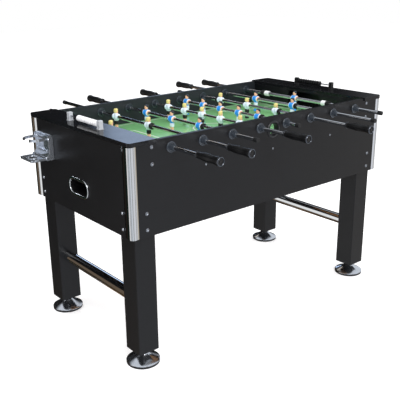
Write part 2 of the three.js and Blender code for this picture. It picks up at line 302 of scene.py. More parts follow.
def polishedChrome(name, tint, roughness, metallic=1.0):
    # chrome or zinc plate on polished steel: a mirror whose roughness says how sharp it is,
    # with faint wiping marks in its gloss
    material, tree, shader, place = startMaterial(name, metallic=metallic, roughness=roughness)
    shader.inputs["Base Color"].default_value = hexColour(tint)
    marks = addNode(
        tree, "ShaderNodeTexNoise", None, {"Vector": place, "Scale": perFeature(18), "Detail": 3.0}
    )
    gloss = addNode(
        tree, "ShaderNodeMapRange", None,
        {"Value": marks.outputs["Fac"], "To Min": roughness * 0.7, "To Max": roughness * 1.4},
    )
    tree.links.new(gloss.outputs[0], shader.inputs["Roughness"])
    return material


def mouldedPlastic(name, colour, shade, roughness, grainMm=1.2, level=0.5):
    # injection-moulded plastic: a faint cloud in its colour and a fine spark-eroded grain
    material, tree, shader, place = startMaterial(name, roughness=roughness)
    shader.inputs["Specular IOR Level"].default_value = level
    cloud, grain = (
        addNode(tree, "ShaderNodeTexNoise", None,
                {"Vector": place, "Scale": perFeature(size), "Detail": 2.0})
        for size in (9, grainMm)
    )
    tone = addNode(
        tree, "ShaderNodeMix", {"data_type": "RGBA"},
        {0: cloud.outputs["Fac"], 6: hexColour(shade), 7: hexColour(colour)},
    )
    bump = addNode(
        tree, "ShaderNodeBump", None,
        {"Height": grain.outputs["Fac"], "Strength": 0.3, "Distance": 0.04 * mm},
    )
    tree.links.new(tone.outputs[2], shader.inputs["Base Color"])
    tree.links.new(bump.outputs[0], shader.inputs["Normal"])
    return material


grainX, grainY, grainZ = (melamineBoard(axis, "satin", 0.4, 0.27) for axis in range(3))
glossyGrain = melamineBoard(1, "glossy", 0.2, 0.14)
# the inner faces: the same black board painted lighter and bluish, a painted sheen, and duller in
# gloss
paintedSheenInnerGrain = melamineBoard(0, "dullInner", 0.5, 0.36, "1b1d21", "2b2e34")
chrome = polishedChrome("brightChromePlate", "dcdee0", 0.07)
rodChrome = polishedChrome("chromedRodSteel", "d4d6da", 0.1)
nylon = mouldedPlastic("glassFilledNylon", "3a4048", "2a2f36", 0.24)
rubber = mouldedPlastic("blackRubber", "111113", "0c0c0d", 0.55, grainMm=0.8)
grip = mouldedPlastic("blackGripPlastic", "0f0f11", "0a0a0b", 0.36, grainMm=0.9, level=0.35)
blackAbs = mouldedPlastic("blackAbs", "121214", "0d0d0f", 0.34)
whiteStyrene = mouldedPlastic("whiteStyrene", "f4f4f6", "e8e8ec", 0.3)
silverPlastic = mouldedPlastic("silverPlastic", "c6c9ce", "adb1b8", 0.26)
zincPlate = polishedChrome("brightZincPlate", "a4a7ad", 0.16)
darkZinc = polishedChrome("blackenedZincPlate", "606369", 0.22)
footChrome = polishedChrome("buffedChromePlate", "d9dce1", 0.17)
satinSteel = polishedChrome("satinPlatedSteel", "cfd4dc", 0.13, 0.9)
print("materials ready")


nearLow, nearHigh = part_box("near_side_panel")
farLow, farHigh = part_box("far_side_panel")
pitchLow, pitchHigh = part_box("playfield")
leftLow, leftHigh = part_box("left_end_panel")
rightLow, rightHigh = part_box("right_end_panel")
boardLow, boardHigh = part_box("left_end_board")
rightBoardLow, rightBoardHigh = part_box("right_end_board")
middleX = (leftLow.x + rightHigh.x) / 2
middleY = (leftLow.y + leftHigh.y) / 2
rodHeight = sum(p.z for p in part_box("rod_4_tube")) / 2
rodLines = [sum(p.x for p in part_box(f"rod_{n}_tube")) / 2 for n in range(1, 9)]

panelSet = {
    "thickness": 18 * mm,
    "gap": 0.3 * mm,
    "ease": 0.9 * mm,
    "boardThickness": 15 * mm,
    "cornerRadius": 14 * mm,
    "goalWall": 12 * mm,
    "goalHalfWidth": 102 * mm,
    "goalTop": 888 * mm,
    "mouthCorner": 12 * mm,
    "bearer": 20 * mm,
    "entryRadius": 25 * mm,
    "entryHeight": 853 * mm,
}
# half the width over the side panels
outerY = leftHigh.y - middleY + panelSet["gap"] + panelSet["thickness"]
innerY = outerY - panelSet["thickness"]
outerX = rightHigh.x - middleX
pitchHalf = (pitchHigh.x - pitchLow.x) / 2 - panelSet["goalWall"]
seat = rightHigh.z  # where the end boards rest
panelFloor = leftLow.z
sideTop = nearHigh.z


def sidePanel(name, side):
    # one long wall: lower under the end boards, higher between them
    ys = sorted([middleY + side * innerY, middleY + side * outerY])
    wall = block(name, (middleX - outerX, ys[0], panelFloor), (middleX + outerX, ys[1], seat))
    edit(wall)
    for cut in (-1, 1):
        bpy.ops.mesh.select_all(action="SELECT")
        notch = middleX + cut * (pitchHalf - panelSet["gap"])
        bpy.ops.mesh.bisect(plane_co=(notch, 0, 0), plane_no=(1, 0, 0))
    pick(wall, "faces", lambda f: f.normal.z > 0.9 and abs(middleOf(f).x - middleX) < 0.1)
    bpy.ops.mesh.extrude_region_move(TRANSFORM_OT_translate={"value": (0, 0, sideTop - seat)})
    pick(wall, "edges", lambda e: runsAlong(e, 2)
         and abs(abs(e.verts[0].co.x - middleX) - outerX) < 1e-4
         and abs(abs(e.verts[0].co.y - middleY) - outerY) < 1e-4)
    bpy.ops.mesh.bevel(offset=panelSet["cornerRadius"], segments=6)
    leaveEdit()
    applyModifier(wall, "BEVEL", width=panelSet["ease"], segments=2, limit_method="ANGLE")
    return wall


def lineInside(wall, side):
    # the faces towards the pitch have their own, duller sheet, painted lighter and bluish as a
    # painted sheen
    wall.data.materials.append(paintedSheenInnerGrain)
    for face in wall.data.polygons:
        if face.normal.y * side < -0.9:
            face.material_index = 1


nearWall = sidePanel("nearSidePanel", -1)
drill(nearWall, panelSet["entryRadius"], 80 * mm,
      (middleX, middleY - outerY, panelSet["entryHeight"]), lyingY, 48)
smooth(nearWall)
dress(nearWall, "frame", grainX, ["near_side_panel"])
lineInside(nearWall, -1)
farWall = sidePanel("farSidePanel", 1)
smooth(farWall)
dress(farWall, "frame", grainX, ["far_side_panel"])
lineInside(farWall, 1)

for name, side in (("nearBearer", -1), ("farBearer", 1)):  # battens that carry the playfield
    ys = sorted(middleY + side * (innerY - inset) for inset in (panelSet["bearer"], 0.1 * mm))
    top = pitchLow.z - panelSet["gap"]
    batten = block(name, (middleX - pitchHalf, ys[0], top - panelSet["bearer"]),
                   (middleX + pitchHalf, ys[1], top), 1 * mm)
    dress(batten, "frame", grainX)

returnSet = {
    "halfWidth": 65 * mm, "halfHeight": 29 * mm, "corner": 26 * mm, "height": 665 * mm,
    "bezelReach": 9 * mm, "bezelThick": 5 * mm, "bezelEase": 4.2 * mm,
    "cupDepth": 62 * mm, "cupWall": 2 * mm, "cupInset": 1.2 * mm,
}


def stadium(name, fromX, toX, grow=0.0):
    # a rounded block along X, the shape of the ball return opening
    s = returnSet
    halfWidth, halfHeight = s["halfWidth"] + grow, s["halfHeight"] + grow
    piece = block(name, (fromX, middleY - halfWidth, s["height"] - halfHeight),
                  (toX, middleY + halfWidth, s["height"] + halfHeight))
    edit(piece)
    pick(piece, "edges", lambda e: runsAlong(e, 0))
    bpy.ops.mesh.bevel(offset=s["corner"] + grow, segments=8)
    leaveEdit()
    return piece


def endPanel(side, low, high):
    word = "left" if side < 0 else "right"
    wall = block(word + "EndPanel", low, high)
    cutAway(wall, stadium("cutter", low.x - 0.02, high.x + 0.02))
    applyModifier(wall, "BEVEL", width=panelSet["ease"], segments=2, limit_method="ANGLE")
    smooth(wall)
    dress(wall, "frame", grainY, [word + "_end_panel"])
    s = returnSet
    face = high.x if side > 0 else low.x
    # the cup: a closed rounded block with its mouth face opened and given a wall
    xs = sorted([face + side * 1 * mm, face - side * s["cupDepth"]])
    cup = stadium(word + "BallReturnCup", xs[0], xs[1], -s["cupInset"])
    edit(cup)
    pick(cup, "faces", lambda f: f.normal.x * side > 0.9)
    bpy.ops.mesh.delete(type="FACE")
    leaveEdit()
    applyModifier(cup, "SOLIDIFY", thickness=s["cupWall"], offset=-1)
    smooth(cup)
    dress(cup, "frame", blackAbs)
    # the bezel: a chromed rounded frame on the panel's face
    xs = sorted([face + side * 0.2 * mm, face + side * (s["bezelThick"] + 0.2 * mm)])
    bezel = stadium(word + "BallReturnBezel", xs[0], xs[1], s["bezelReach"])
    cutAway(bezel, stadium("cutter", xs[0] - 0.02, xs[1] + 0.02, -0.6 * mm))
    applyModifier(bezel, "BEVEL", width=s["bezelEase"], segments=5, limit_method="ANGLE",
                  angle_limit=1.2)
    smooth(bezel)
    dress(bezel, "frame", chrome)


endPanel(-1, leftLow, leftHigh)
endPanel(1, rightLow, rightHigh)
print("panels made")


def endBoard(side, low, high):
    word = "left" if side < 0 else "right"
    inner = middleX + side * pitchHalf
    outer = low.x if side < 0 else high.x
    xs = sorted([inner, outer])
    board = block(word + "EndBoard", (xs[0], low.y, boardTop - panelSet["boardThickness"]),
                  (xs[1], high.y, boardTop))
    edit(board)
    pick(board, "edges", lambda e: runsAlong(e, 2) and abs(e.verts[0].co.x - outer) < 1e-4)
    bpy.ops.mesh.bevel(offset=panelSet["cornerRadius"], segments=8)
    leaveEdit()
    applyModifier(board, "BEVEL", width=1.6 * mm, segments=3, limit_method="ANGLE", angle_limit=0.9)
    smooth(board)
    dress(board, "frame", glossyGrain, [word + "_end_board"])
    xs = sorted([inner, inner + side * panelSet["goalWall"]])
    gap = panelSet["gap"]
    wall = block(word + "GoalWall", (xs[0], middleY - innerY + gap, pitchHigh.z + gap),
                 (xs[1], middleY + innerY - gap, seat + 0.2 * mm))
    half = panelSet["goalHalfWidth"]
    mouth = block("cutter", (xs[0] - 0.02, middleY - half, pitchHigh.z - 0.02),
                  (xs[1] + 0.02, middleY + half, panelSet["goalTop"]))
    edit(mouth)
    pick(mouth, "edges", lambda e: runsAlong(e, 0) and e.verts[0].co.z > rodHeight)
    bpy.ops.mesh.bevel(offset=panelSet["mouthCorner"], segments=6)
    leaveEdit()
    cutAway(wall, mouth)
    applyModifier(wall, "BEVEL", width=1 * mm, segments=2, limit_method="ANGLE", angle_limit=0.9)
    smooth(wall)
    dress(wall, "frame", grainY)


boardTop = seat + panelSet["gap"] + panelSet["boardThickness"]
endBoard(-1, boardLow, boardHigh)
endBoard(1, rightBoardLow, rightBoardHigh)

protectorSet = {
    "alongSide": 31 * mm, "alongEnd": 48 * mm, "sheet": 1.2 * mm, "below": 2 * mm,
    "above": 1.5 * mm, "sideSteps": 5, "endSteps": 8, "bow": 14,
}


def cornerProtector(name, sideX, sideY):
    # a strip of chromed sheet, pressed with a slight bow: an upright strip is drawn on along the
    # side, round the corner and along the end, where both coordinates are positive, then mirrored
    s = protectorSet
    bend = panelSet["cornerRadius"]
    low, high = panelFloor + s["below"], seat - s["above"]

    def leaf(length, steps):
        # from the corner outwards: how far along, and how far it has sunk towards the panel
        along, sunk, points = 0.0, 0.0, []
        for step in range(1, steps + 1):
            along += length / steps
            sunk += length / steps * math.tan(math.radians(s["bow"] * step / steps))
            points.append((along, sunk))
        return points, sunk + 0.2 * mm

    sideLeaf, sideRise = leaf(s["alongSide"] - bend, s["sideSteps"])
    endLeaf, endRise = leaf(s["alongEnd"] - bend, s["endSteps"])
    centre = Vector((outerX - bend + endRise, outerY - bend + sideRise, 0))
    route = [centre + Vector((-along, bend - sunk, 0)) for along, sunk in reversed(sideLeaf)]
    for step in range(11):
        angle = math.radians(9 * step)
        route.append(centre + Vector((math.sin(angle), math.cos(angle), 0)) * bend)
    route += [centre + Vector((bend - sunk, -along, 0)) for along, sunk in endLeaf]
    first, second = route[:2]
    bpy.ops.mesh.primitive_plane_add(size=1)
    piece = bpy.context.object
    piece.name = name
    piece.rotation_euler = (math.pi / 2, 0, math.atan2(second.y - first.y, second.x - first.x))
    piece.scale = ((second - first).length, high - low, 1)
    piece.location = (first + second) / 2 + Vector((0, 0, (low + high) / 2))
    settle(piece)
    edit(piece)
    pick(piece, "edges", lambda e: runsAlong(e, 2) and (e.verts[0].co - second).xy.length < 1e-5)
    for before, after in zip(route[1:], route[2:]):
        bpy.ops.mesh.extrude_edges_move(TRANSFORM_OT_translate={"value": after - before})
    leaveEdit()
    edit(piece)
    faces = bmesh.from_edit_mesh(piece.data).faces
    if sum(f.normal.x + f.normal.y > 0 for f in faces) < len(faces) / 2:
        bpy.ops.mesh.select_all(action="SELECT")
        bpy.ops.mesh.flip_normals()
    leaveEdit()
    applyModifier(piece, "SOLIDIFY", thickness=s["sheet"], offset=1)
    piece.scale = (sideX, sideY, 1)
    piece.location = (middleX, middleY, 0)
    settle(piece)
    outward(piece)
    smooth(piece)
    dress(piece, "frame", chrome)


for sideX, endWord in ((-1, "Left"), (1, "Right")):
    for sideY, sideWord in ((-1, "near"), (1, "far")):
        cornerProtector(f"{sideWord}{endWord}CornerProtector", sideX, sideY)

boltSet = {
    "head": 5.2 * mm, "dome": 3 * mm, "washer": 7.4 * mm, "washerThick": 1.2 * mm,
    "socket": 2.6 * mm, "socketDeep": 1.8 * mm, "smaller": 0.66, "proud": 0.05 * mm,
    "frameX": 611 * mm, "frameHeights": (819 * mm, 882 * mm),
    "middleX": 361 * mm, "middleHeight": 772 * mm, "legHeights": (576 * mm, 639 * mm),
}


def boltHead():
    # a domed bolt head on a dished washer, pointing along -Y, with a hexagon socket
    s = boltSet
    washer, head, base = s["washer"], s["head"], s["washerThick"]
    top = base + s["dome"]
    bolt = turned("boltHead", [
        (0.0, 0.0), (washer, 0.0), (washer - 0.4 * mm, base),
        (head + 0.3 * mm, base + 0.5 * mm), (head, base + 0.3 * mm),
        (head * 0.97, base + s["dome"] * 0.45), (head * 0.8, base + s["dome"] * 0.85),
        (head * 0.5, top), (0.0, top),
    ], sides=24)
    drill(bolt, s["socket"], 2 * s["socketDeep"], (0, 0, top), sides=6)
    laid(bolt, lyingY)
    smooth(bolt)
    return bolt


legLow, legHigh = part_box("near_left_leg")
legX = abs((legLow.x + legHigh.x) / 2 - middleX)
legY = abs((legLow.y + legHigh.y) / 2 - middleY)
s = boltSet
frameBolts = [(sx * s["frameX"], z) for sx in (-1, 1) for z in s["frameHeights"]]
middleBolts = [(x * s["middleX"], s["middleHeight"]) for x in (-1, 0, 1)]
legBolts = [(sx * legX, z) for sx in (-1, 1) for z in s["legHeights"]]
patternBolt = boltHead()
patternScrew = boltHead()
patternScrew.scale = [s["smaller"]] * 3
settle(patternScrew)
for side, word in ((-1, "near"), (1, "far")):
    turn = 0 if side < 0 else math.pi
    y = middleY + side * (outerY + s["proud"])
    plan = ((patternBolt, frameBolts + legBolts), (patternScrew, middleBolts))
    bolts = [copyOf(pattern, "bolt", (middleX + x, y, z), turn)
             for pattern, places in plan for x, z in places]
    dress(joined(word + "PanelBolts", bolts), "frame", zincPlate)
for side, word in ((-1, "left"), (1, "right")):
    x = middleX + side * (outerX + s["proud"])
    bolts = [copyOf(patternBolt, "bolt", (x, middleY + sy * legY, z), side * math.pi / 2)
             for sy in (-1, 1) for z in s["legHeights"]]
    dress(joined(word + "PanelBolts", bolts), "frame", zincPlate)
bpy.data.objects.remove(patternBolt)
print("boards, protectors and bolts made")


entrySet = {"ring": 35.5 * mm, "hole": 23 * mm, "proud": 6 * mm}


def openTube(name, profile, sides=48):
    # a turned wall with a hole through it: rings pulled from an open circle and closed on itself
    (radius, along), rest = profile[0], profile[1:] + profile[:1]
    bpy.ops.mesh.primitive_circle_add(
        vertices=sides, radius=radius, fill_type="NOTHING", location=(0, 0, along)
    )
    piece = bpy.context.object
    piece.name = name
    settle(piece)
    edit(piece)
    bpy.ops.mesh.select_mode(type="EDGE")
    bpy.ops.mesh.select_all(action="SELECT")
    for nextRadius, nextAlong in rest:
        pull = (0, 0, nextAlong - along)
        bpy.ops.mesh.extrude_edges_move(TRANSFORM_OT_translate={"value": pull})
        ratio = nextRadius / radius
        bpy.ops.transform.resize(value=(ratio, ratio, 1), center_override=(0, 0, nextAlong))
        radius, along = nextRadius, nextAlong
    leaveEdit()
    outward(piece)
    return piece


def entryRing():
    # a flared ring in the near wall, where the ball is put in
    s = entrySet
    hole, ring, proud = s["hole"], s["ring"], s["proud"]
    throat = -(panelSet["thickness"] + 1 * mm)
    wall = panelSet["entryRadius"] - 0.4 * mm
    entry = openTube("ballEntryRing", [
        (hole, throat), (hole, 0.0), (hole + 4 * mm, proud), (ring - 4 * mm, proud * 0.85),
        (ring, proud * 0.3), (ring, 0.2 * mm), (wall, 0.2 * mm), (wall, throat),
    ])
    laid(entry, lyingY, (middleX, middleY - outerY, panelSet["entryHeight"]))
    smooth(entry)
    dress(entry, "frame", blackAbs)


entryRing()
bearingSet = {
    "flange": 21 * mm, "rim": 4 * mm, "nose": 11.5 * mm, "noseTip": 10.4 * mm,
    "outerNose": 26 * mm, "innerNose": 22 * mm, "bore": 8.4 * mm,
}


def bearingPattern():
    # along +Y from the inner nose to the outer nose, 0 at the wall's outer face
    s = bearingSet
    flange, rim, nose, tip, bore = s["flange"], s["rim"], s["nose"], s["noseTip"], s["bore"]
    inner = -panelSet["thickness"]
    innerEnd, outerEnd, step = inner - s["innerNose"], s["outerNose"], rim * 0.6
    piece = openTube("bearing", [
        (bore, innerEnd), (tip, innerEnd), (tip + 0.5 * mm, innerEnd + 1 * mm),
        (nose, inner - step), (flange * 0.72, inner - step), (flange * 0.76, inner - rim),
        (flange * 0.93, inner - rim), (flange, inner - step), (flange, inner),
        (nose + 1 * mm, inner), (nose + 1 * mm, 0.0), (flange, 0.0), (flange, step),
        (flange * 0.93, rim), (flange * 0.76, rim), (flange * 0.72, step),
        (nose + 0.6 * mm, step), (nose, rim + 1 * mm), (tip + 0.4 * mm, outerEnd - 1.5 * mm),
        (tip - 0.4 * mm, outerEnd), (bore, outerEnd),
    ], sides=40)
    laid(piece, (-quarter, 0, 0))
    smooth(piece)
    return piece


patternBearing = bearingPattern()
for number, x in enumerate(rodLines, 1):
    for side, word, turn in ((-1, "near", math.pi), (1, "far", 0)):
        place = (x, middleY + side * outerY, rodHeight)
        bearing = copyOf(patternBearing, f"rod{number}{word.title()}Bearing", place, turn)
        dress(bearing, "frame", nylon)
bpy.data.objects.remove(patternBearing)
print("bearings made")


pitchSet = {
    "line": 6 * mm, "centreCircle": 95 * mm, "areaDepth": 268 * mm, "areaHalf": 198 * mm,
    "goalDepth": 75 * mm, "goalHalf": 125 * mm, "margin": 22 * mm, "lineFade": 0.6 * mm,
}


def printedPitch():
    # printed and varnished hardboard: grass green with white lines under a clear gloss coat
    material, tree, shader, place = startMaterial("printedPitchBoard", roughness=0.32)
    centred = addNode(tree, "ShaderNodeMapping", {"vector_type": "POINT"},
                      {"Vector": place, "Location": (-middleX, -middleY, 0)})
    flat = addNode(tree, "ShaderNodeSeparateXYZ", None, {0: centred.outputs[0]})
    less, size = {"operation": "SUBTRACT"}, {"operation": "ABSOLUTE"}
    absX, absY = (
        addNode(tree, "ShaderNodeMath", size, {0: flat.outputs[way]}).outputs[0] for way in (0, 1)
    )
    p = pitchSet
    goalLine = pitchHalf - p["margin"]
    touchLine = innerY - p["margin"]
    # each frame: how far in X it is centred from the middle, and its half sizes
    frames = [
        (0.0, goalLine, touchLine),
        (goalLine, p["areaDepth"], p["areaHalf"]),
        (goalLine, p["goalDepth"], p["goalHalf"]),
    ]
    distances = []
    for centreX, halfX, halfY in frames:
        offX = addNode(tree, "ShaderNodeMath", less, {0: absX, 1: centreX})
        farX = addNode(tree, "ShaderNodeMath", size, {0: offX.outputs[0]})
        sideX = addNode(tree, "ShaderNodeMath", less, {0: farX.outputs[0], 1: halfX})
        sideY = addNode(tree, "ShaderNodeMath", less, {0: absY, 1: halfY})
        edge = addNode(tree, "ShaderNodeMath", {"operation": "MAXIMUM"},
                       {0: sideX.outputs[0], 1: sideY.outputs[0]})
        distances.append(addNode(tree, "ShaderNodeMath", size, {0: edge.outputs[0]}).outputs[0])
    level = addNode(tree, "ShaderNodeCombineXYZ", None, {0: flat.outputs[0], 1: flat.outputs[1]})
    reach = addNode(tree, "ShaderNodeVectorMath", {"operation": "LENGTH"}, {0: level.outputs[0]})
    ring = addNode(tree, "ShaderNodeMath", less, {0: reach.outputs["Value"], 1: p["centreCircle"]})
    distances.append(addNode(tree, "ShaderNodeMath", size, {0: ring.outputs[0]}).outputs[0])
    distances.append(absX)
    nearest = distances[0]
    for distance in distances[1:]:
        closer = addNode(tree, "ShaderNodeMath", {"operation": "MINIMUM"},
                         {0: nearest, 1: distance})
        nearest = closer.outputs[0]
    isLine = addNode(tree, "ShaderNodeMapRange", None,
                     {"Value": nearest, "From Min": p["line"] / 2,
                      "From Max": p["line"] / 2 + p["lineFade"], "To Min": 1.0, "To Max": 0.0})
    inside = addNode(tree, "ShaderNodeMath", {"operation": "LESS_THAN"},
                     {0: absX, 1: goalLine + p["line"]})
    shown = addNode(tree, "ShaderNodeMath", {"operation": "MULTIPLY"},
                    {0: isLine.outputs[0], 1: inside.outputs[0]})
    blades = addNode(tree, "ShaderNodeTexNoise", None,
                     {"Vector": place, "Scale": perFeature(2.2), "Detail": 3.0, "Roughness": 0.7})
    patches = addNode(tree, "ShaderNodeTexNoise", None,
                      {"Vector": place, "Scale": perFeature(60), "Detail": 2.0})
    amount = 0.0
    for noise, share in ((patches, 0.45), (blades, 0.55)):
        summed = addNode(tree, "ShaderNodeMath", {"operation": "MULTIPLY_ADD"},
                         {0: noise.outputs["Fac"], 1: share, 2: amount})
        amount = summed.outputs[0]
    grass = addNode(tree, "ShaderNodeMix", {"data_type": "RGBA"},
                    {0: amount, 6: hexColour("68b56c"), 7: hexColour("98d698")})
    paint = addNode(tree, "ShaderNodeMix", {"data_type": "RGBA"},
                    {0: shown.outputs[0], 6: grass.outputs[2], 7: hexColour("eef3ea")})
    tree.links.new(paint.outputs[2], shader.inputs["Base Color"])
    shader.inputs["Coat Weight"].default_value = 0.6
    shader.inputs["Coat Roughness"].default_value = 0.12
    return material


def hardboard():
    # the playfield's back: pressed wood fibre, brown and matt
    material, tree, shader, place = startMaterial("hardboardBack", roughness=0.85)
    fibre = addNode(tree, "ShaderNodeTexNoise", None,
                    {"Vector": place, "Scale": perFeature(3), "Detail": 5.0, "Roughness": 0.7})
    tone = addNode(tree, "ShaderNodeMix", {"data_type": "RGBA"},
                   {0: fibre.outputs["Fac"], 6: hexColour("6b4a30"), 7: hexColour("94704c")})
    bump = addNode(tree, "ShaderNodeBump", None,
                   {"Height": fibre.outputs["Fac"], "Strength": 0.4, "Distance": 0.2 * mm})
    tree.links.new(tone.outputs[2], shader.inputs["Base Color"])
    tree.links.new(bump.outputs[0], shader.inputs["Normal"])
    return material


pitch = block("playfieldBoard", pitchLow, pitchHigh, 0.6 * mm)
dress(pitch, "frame", printedPitch(), ["playfield"])
pitch.data.materials.append(hardboard())
for face in pitch.data.polygons:
    face.material_index = 0 if face.normal.z > 0.5 else 1


def ballChute(word, side):
    # a folded tray behind the goal wall, sloping down to the return cup
    inner = middleX + side * (pitchHalf + panelSet["goalWall"] + 1 * mm)
    outer = middleX + side * (outerX - panelSet["thickness"] - 1 * mm)
    half = legY - 52 * mm
    xs = sorted([inner, outer])
    floorZ = returnSet["height"] + returnSet["halfHeight"] + 6 * mm
    tray = block(word + "BallChute", (xs[0], middleY - half, floorZ),
                 (xs[1], middleY + half, floorZ + 46 * mm))
    edit(tray)
    for cut in (-1, 1):
        bpy.ops.mesh.select_all(action="SELECT")
        bpy.ops.mesh.bisect(plane_co=(0, middleY + cut * 60 * mm, 0), plane_no=(0, 1, 0))
    pick(tray, "faces", lambda f: f.normal.z > 0.9)
    bpy.ops.mesh.delete(type="FACE")
    pick(tray, "verts", lambda v: abs(v.co.y - middleY) < 0.07)
    bpy.ops.transform.translate(value=(0, 0, -4 * mm))
    pick(tray, "verts", lambda v: abs(v.co.y - middleY) > 0.07 and v.co.z < floorZ + 1 * mm)
    bpy.ops.transform.translate(value=(0, 0, 14 * mm))
    leaveEdit()
    applyModifier(tray, "SOLIDIFY", thickness=1.6 * mm, offset=-1)
    smooth(tray)
    dress(tray, "frame", blackAbs)


ballChute("left", -1)
ballChute("right", 1)
print("playfield made")


footSet = {
    "rim": 67 * mm, "neck": 16 * mm, "stud": 6 * mm, "studTop": 110 * mm, "legLower": 6 * mm,
    "pad": 66.6 * mm, "padThick": 9 * mm,
    # the chromed cone from its rim up to the neck: share of the rim's radius, height in mm
    "cone": [(0.985, 9), (1.0, 9.8), (1.0, 11.4), (0.97, 13), (0.9, 15.4), (0.8, 18.4), (0.7, 21.6),
             (0.6, 25), (0.5, 28.6), (0.42, 32.2), (0.36, 36), (0.32, 39.4), (0.31, 41)],
}


def footPattern():
    # a chromed flared cone with a rolled rim on a rubber pad, its neck and the screw stud above
    s = footSet
    profile = [(s["rim"] - 6 * mm, s["padThick"])]
    profile += [(share * s["rim"], height * mm) for share, height in s["cone"]]
    profile += [
        (s["neck"] + 3 * mm, 42.4 * mm), (s["neck"], 43.4 * mm), (s["neck"], 55 * mm),
        (s["neck"] - 1 * mm, 56.4 * mm), (s["stud"], 56.8 * mm),
    ]
    for turn in range(1, 30):  # the screw thread, as ridges
        profile.append((s["stud"] - (0.7 * mm if turn % 2 else 0), (57 + turn * 1.7) * mm))
    profile += [(s["stud"] - 2 * mm, s["studTop"]), (0.0, s["studTop"])]
    cone = turned("foot", profile, sides=72)
    pad = turned("pad", [
        (s["pad"] - 1.5 * mm, 0.0), (s["pad"] - 0.4 * mm, 0.4 * mm), (s["pad"], 1.4 * mm),
        (s["pad"], s["padThick"] - 0.2 * mm),
    ], sides=72)
    return cone, pad


patternFoot, patternPad = footPattern()
for nearFar, sideY in (("near", -1), ("far", 1)):
    for word, sideX in (("left", -1), ("right", 1)):
        node = f"{nearFar}_{word}_leg"
        low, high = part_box(node)
        leg = block(f"{nearFar}{word.title()}Leg", low - Vector((0, 0, footSet["legLower"])), high)
        edit(leg)
        pick(leg, "edges", lambda e: runsAlong(e, 2))
        bpy.ops.mesh.bevel(offset=2.5 * mm, segments=3)
        pick(leg, "edges", lambda e: e.calc_face_angle(0) > 0.8)
        bpy.ops.mesh.bevel(offset=0.8 * mm, segments=2)
        leaveEdit()
        smooth(leg)
        dress(leg, "frame", grainZ, [node])
        x, y = (low.x + high.x) / 2, (low.y + high.y) / 2
        footBody = f"{nearFar}_{word}_foot"
        foot = copyOf(patternFoot, f"{nearFar}{word.title()}Foot", (x, y, 0))
        dress(foot, footBody, footChrome, [footBody])
        pad = copyOf(patternPad, f"{nearFar}{word.title()}FootPad", (x, y, 0))
        dress(pad, footBody, rubber)
for pattern in (patternFoot, patternPad):
    bpy.data.objects.remove(pattern)

for word in ("left", "right"):
    low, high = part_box(f"{word}_stretcher")
    radius = (high.x - low.x) / 2
    half = (high.y - low.y) / 2
    tube = openTube(f"{word}Stretcher", [
        (radius - 2 * mm, -half), (radius, -half), (radius, half), (radius - 2 * mm, half),
    ], sides=64)
    laid(tube, lyingY, (low + high) / 2)
    smooth(tube)
    dress(tube, "frame", chrome, [f"{word}_stretcher"])
print("legs and feet made")


rodSet = {
    "radius": 8 * mm, "cap": 9.5 * mm, "capLength": 20 * mm, "capLap": 1.5 * mm,
    "endEase": 0.6 * mm, "inHandle": 98 * mm,
    "bumper": 13.5 * mm, "bumperLength": 12.8 * mm, "stop": 12.8 * mm, "stopLength": 26 * mm,
    "stopPlace": 189 * mm, "fist": 17 * mm, "play": 0.2 * mm,
}
bore = rodSet["radius"] + rodSet["play"]  # of all that sits on a rod


def handlePattern():
    # a turned grip from the rod's collar at 0 to its domed end, along +Z
    body = openTube("handle", inMm([
        (8.5, 60), (8.5, 0), (12.6, 0), (13.4, 1.2), (13.4, 5), (12, 7), (11.8, 10), (13, 24),
        (14.6, 40), (15.4, 54), (15, 68), (14.2, 80), (14.2, 90), (15.2, 102), (16.6, 112),
        (17, 117), (16.6, 119.6), (12, 120), (4, 120), (4, 61),
    ]), sides=48)
    edit(body)
    # eight shallow flutes, pressed in along the waist of the grip
    pick(body, "verts", lambda v: 20 * mm < v.co.z < 100 * mm and v.co.xy.length > 11 * mm
         and round(math.degrees(math.atan2(v.co.y, v.co.x)) / 7.5) % 6 == 0)
    bpy.ops.transform.resize(value=(0.965, 0.965, 1), center_override=(0, 0, 60 * mm))
    leaveEdit()
    smooth(body, 50)
    ring = openTube("ring", inMm([
        (12.4, 120.2), (16.7, 120.2), (16.9, 121.4), (16.2, 123.8), (14.8, 125), (13.4, 124.4),
        (12.4, 123),
    ]), sides=48)
    smooth(ring, 60)
    cap = turned("cap", inMm([
        (3.9, 60), (3.9, 120.2), (12.2, 120.2), (12.1, 121.6), (7, 122), (6.4, 121), (5.4, 121),
        (5, 122.6), (0, 123),
    ]), sides=48)
    collar = openTube("collar", inMm([(13.5, 1.4), (14, 1.8), (14, 4.2), (13.5, 4.6)]), sides=48)
    smooth(collar, 60)
    return body, cap, joined("handleRings", [ring, collar])


def bumperPattern():
    # a ribbed rubber ring along +Z, its bore on the rod
    length = rodSet["bumperLength"]
    big, small = rodSet["bumper"], rodSet["bumper"] - 1.4 * mm
    rings = [(bore, 0.0), (big - 1.2 * mm, 0.0), (big, 1 * mm)]
    for rib in range(3):
        start = (1 + rib * 3.9) * mm
        rings += [(big, start + 1.6 * mm), (small, start + 2.2 * mm),
                  (small, start + 3.1 * mm), (big, start + 3.7 * mm)]
    rings = rings[:-2] + [(big - 1 * mm, length), (bore, length)]
    piece = openTube("bumper", rings, sides=40)
    smooth(piece, 40)
    return piece


def stopPattern():
    # a goalkeeper's white stop collar: a barrel with a sunk end and a clamp screw in its side
    half, radius, sunk = rodSet["stopLength"] / 2, rodSet["stop"], 4 * mm
    # the profile from one end to its middle; the other half is the same, backwards
    profile = [
        (bore, half), (bore + 2.5 * mm, half), (bore + 3 * mm, half - sunk),
        (radius - 3.2 * mm, half - sunk), (radius - 2.8 * mm, half), (radius - 0.8 * mm, half),
        (radius, half - 1.2 * mm),
    ]
    lower = [(across, -along) for across, along in profile]
    piece = openTube("stop", lower + profile[::-1], sides=48)
    drill(piece, 3 * mm, 12 * mm, (0, radius, 0), lyingY, 24)
    smooth(piece, 40)
    return piece


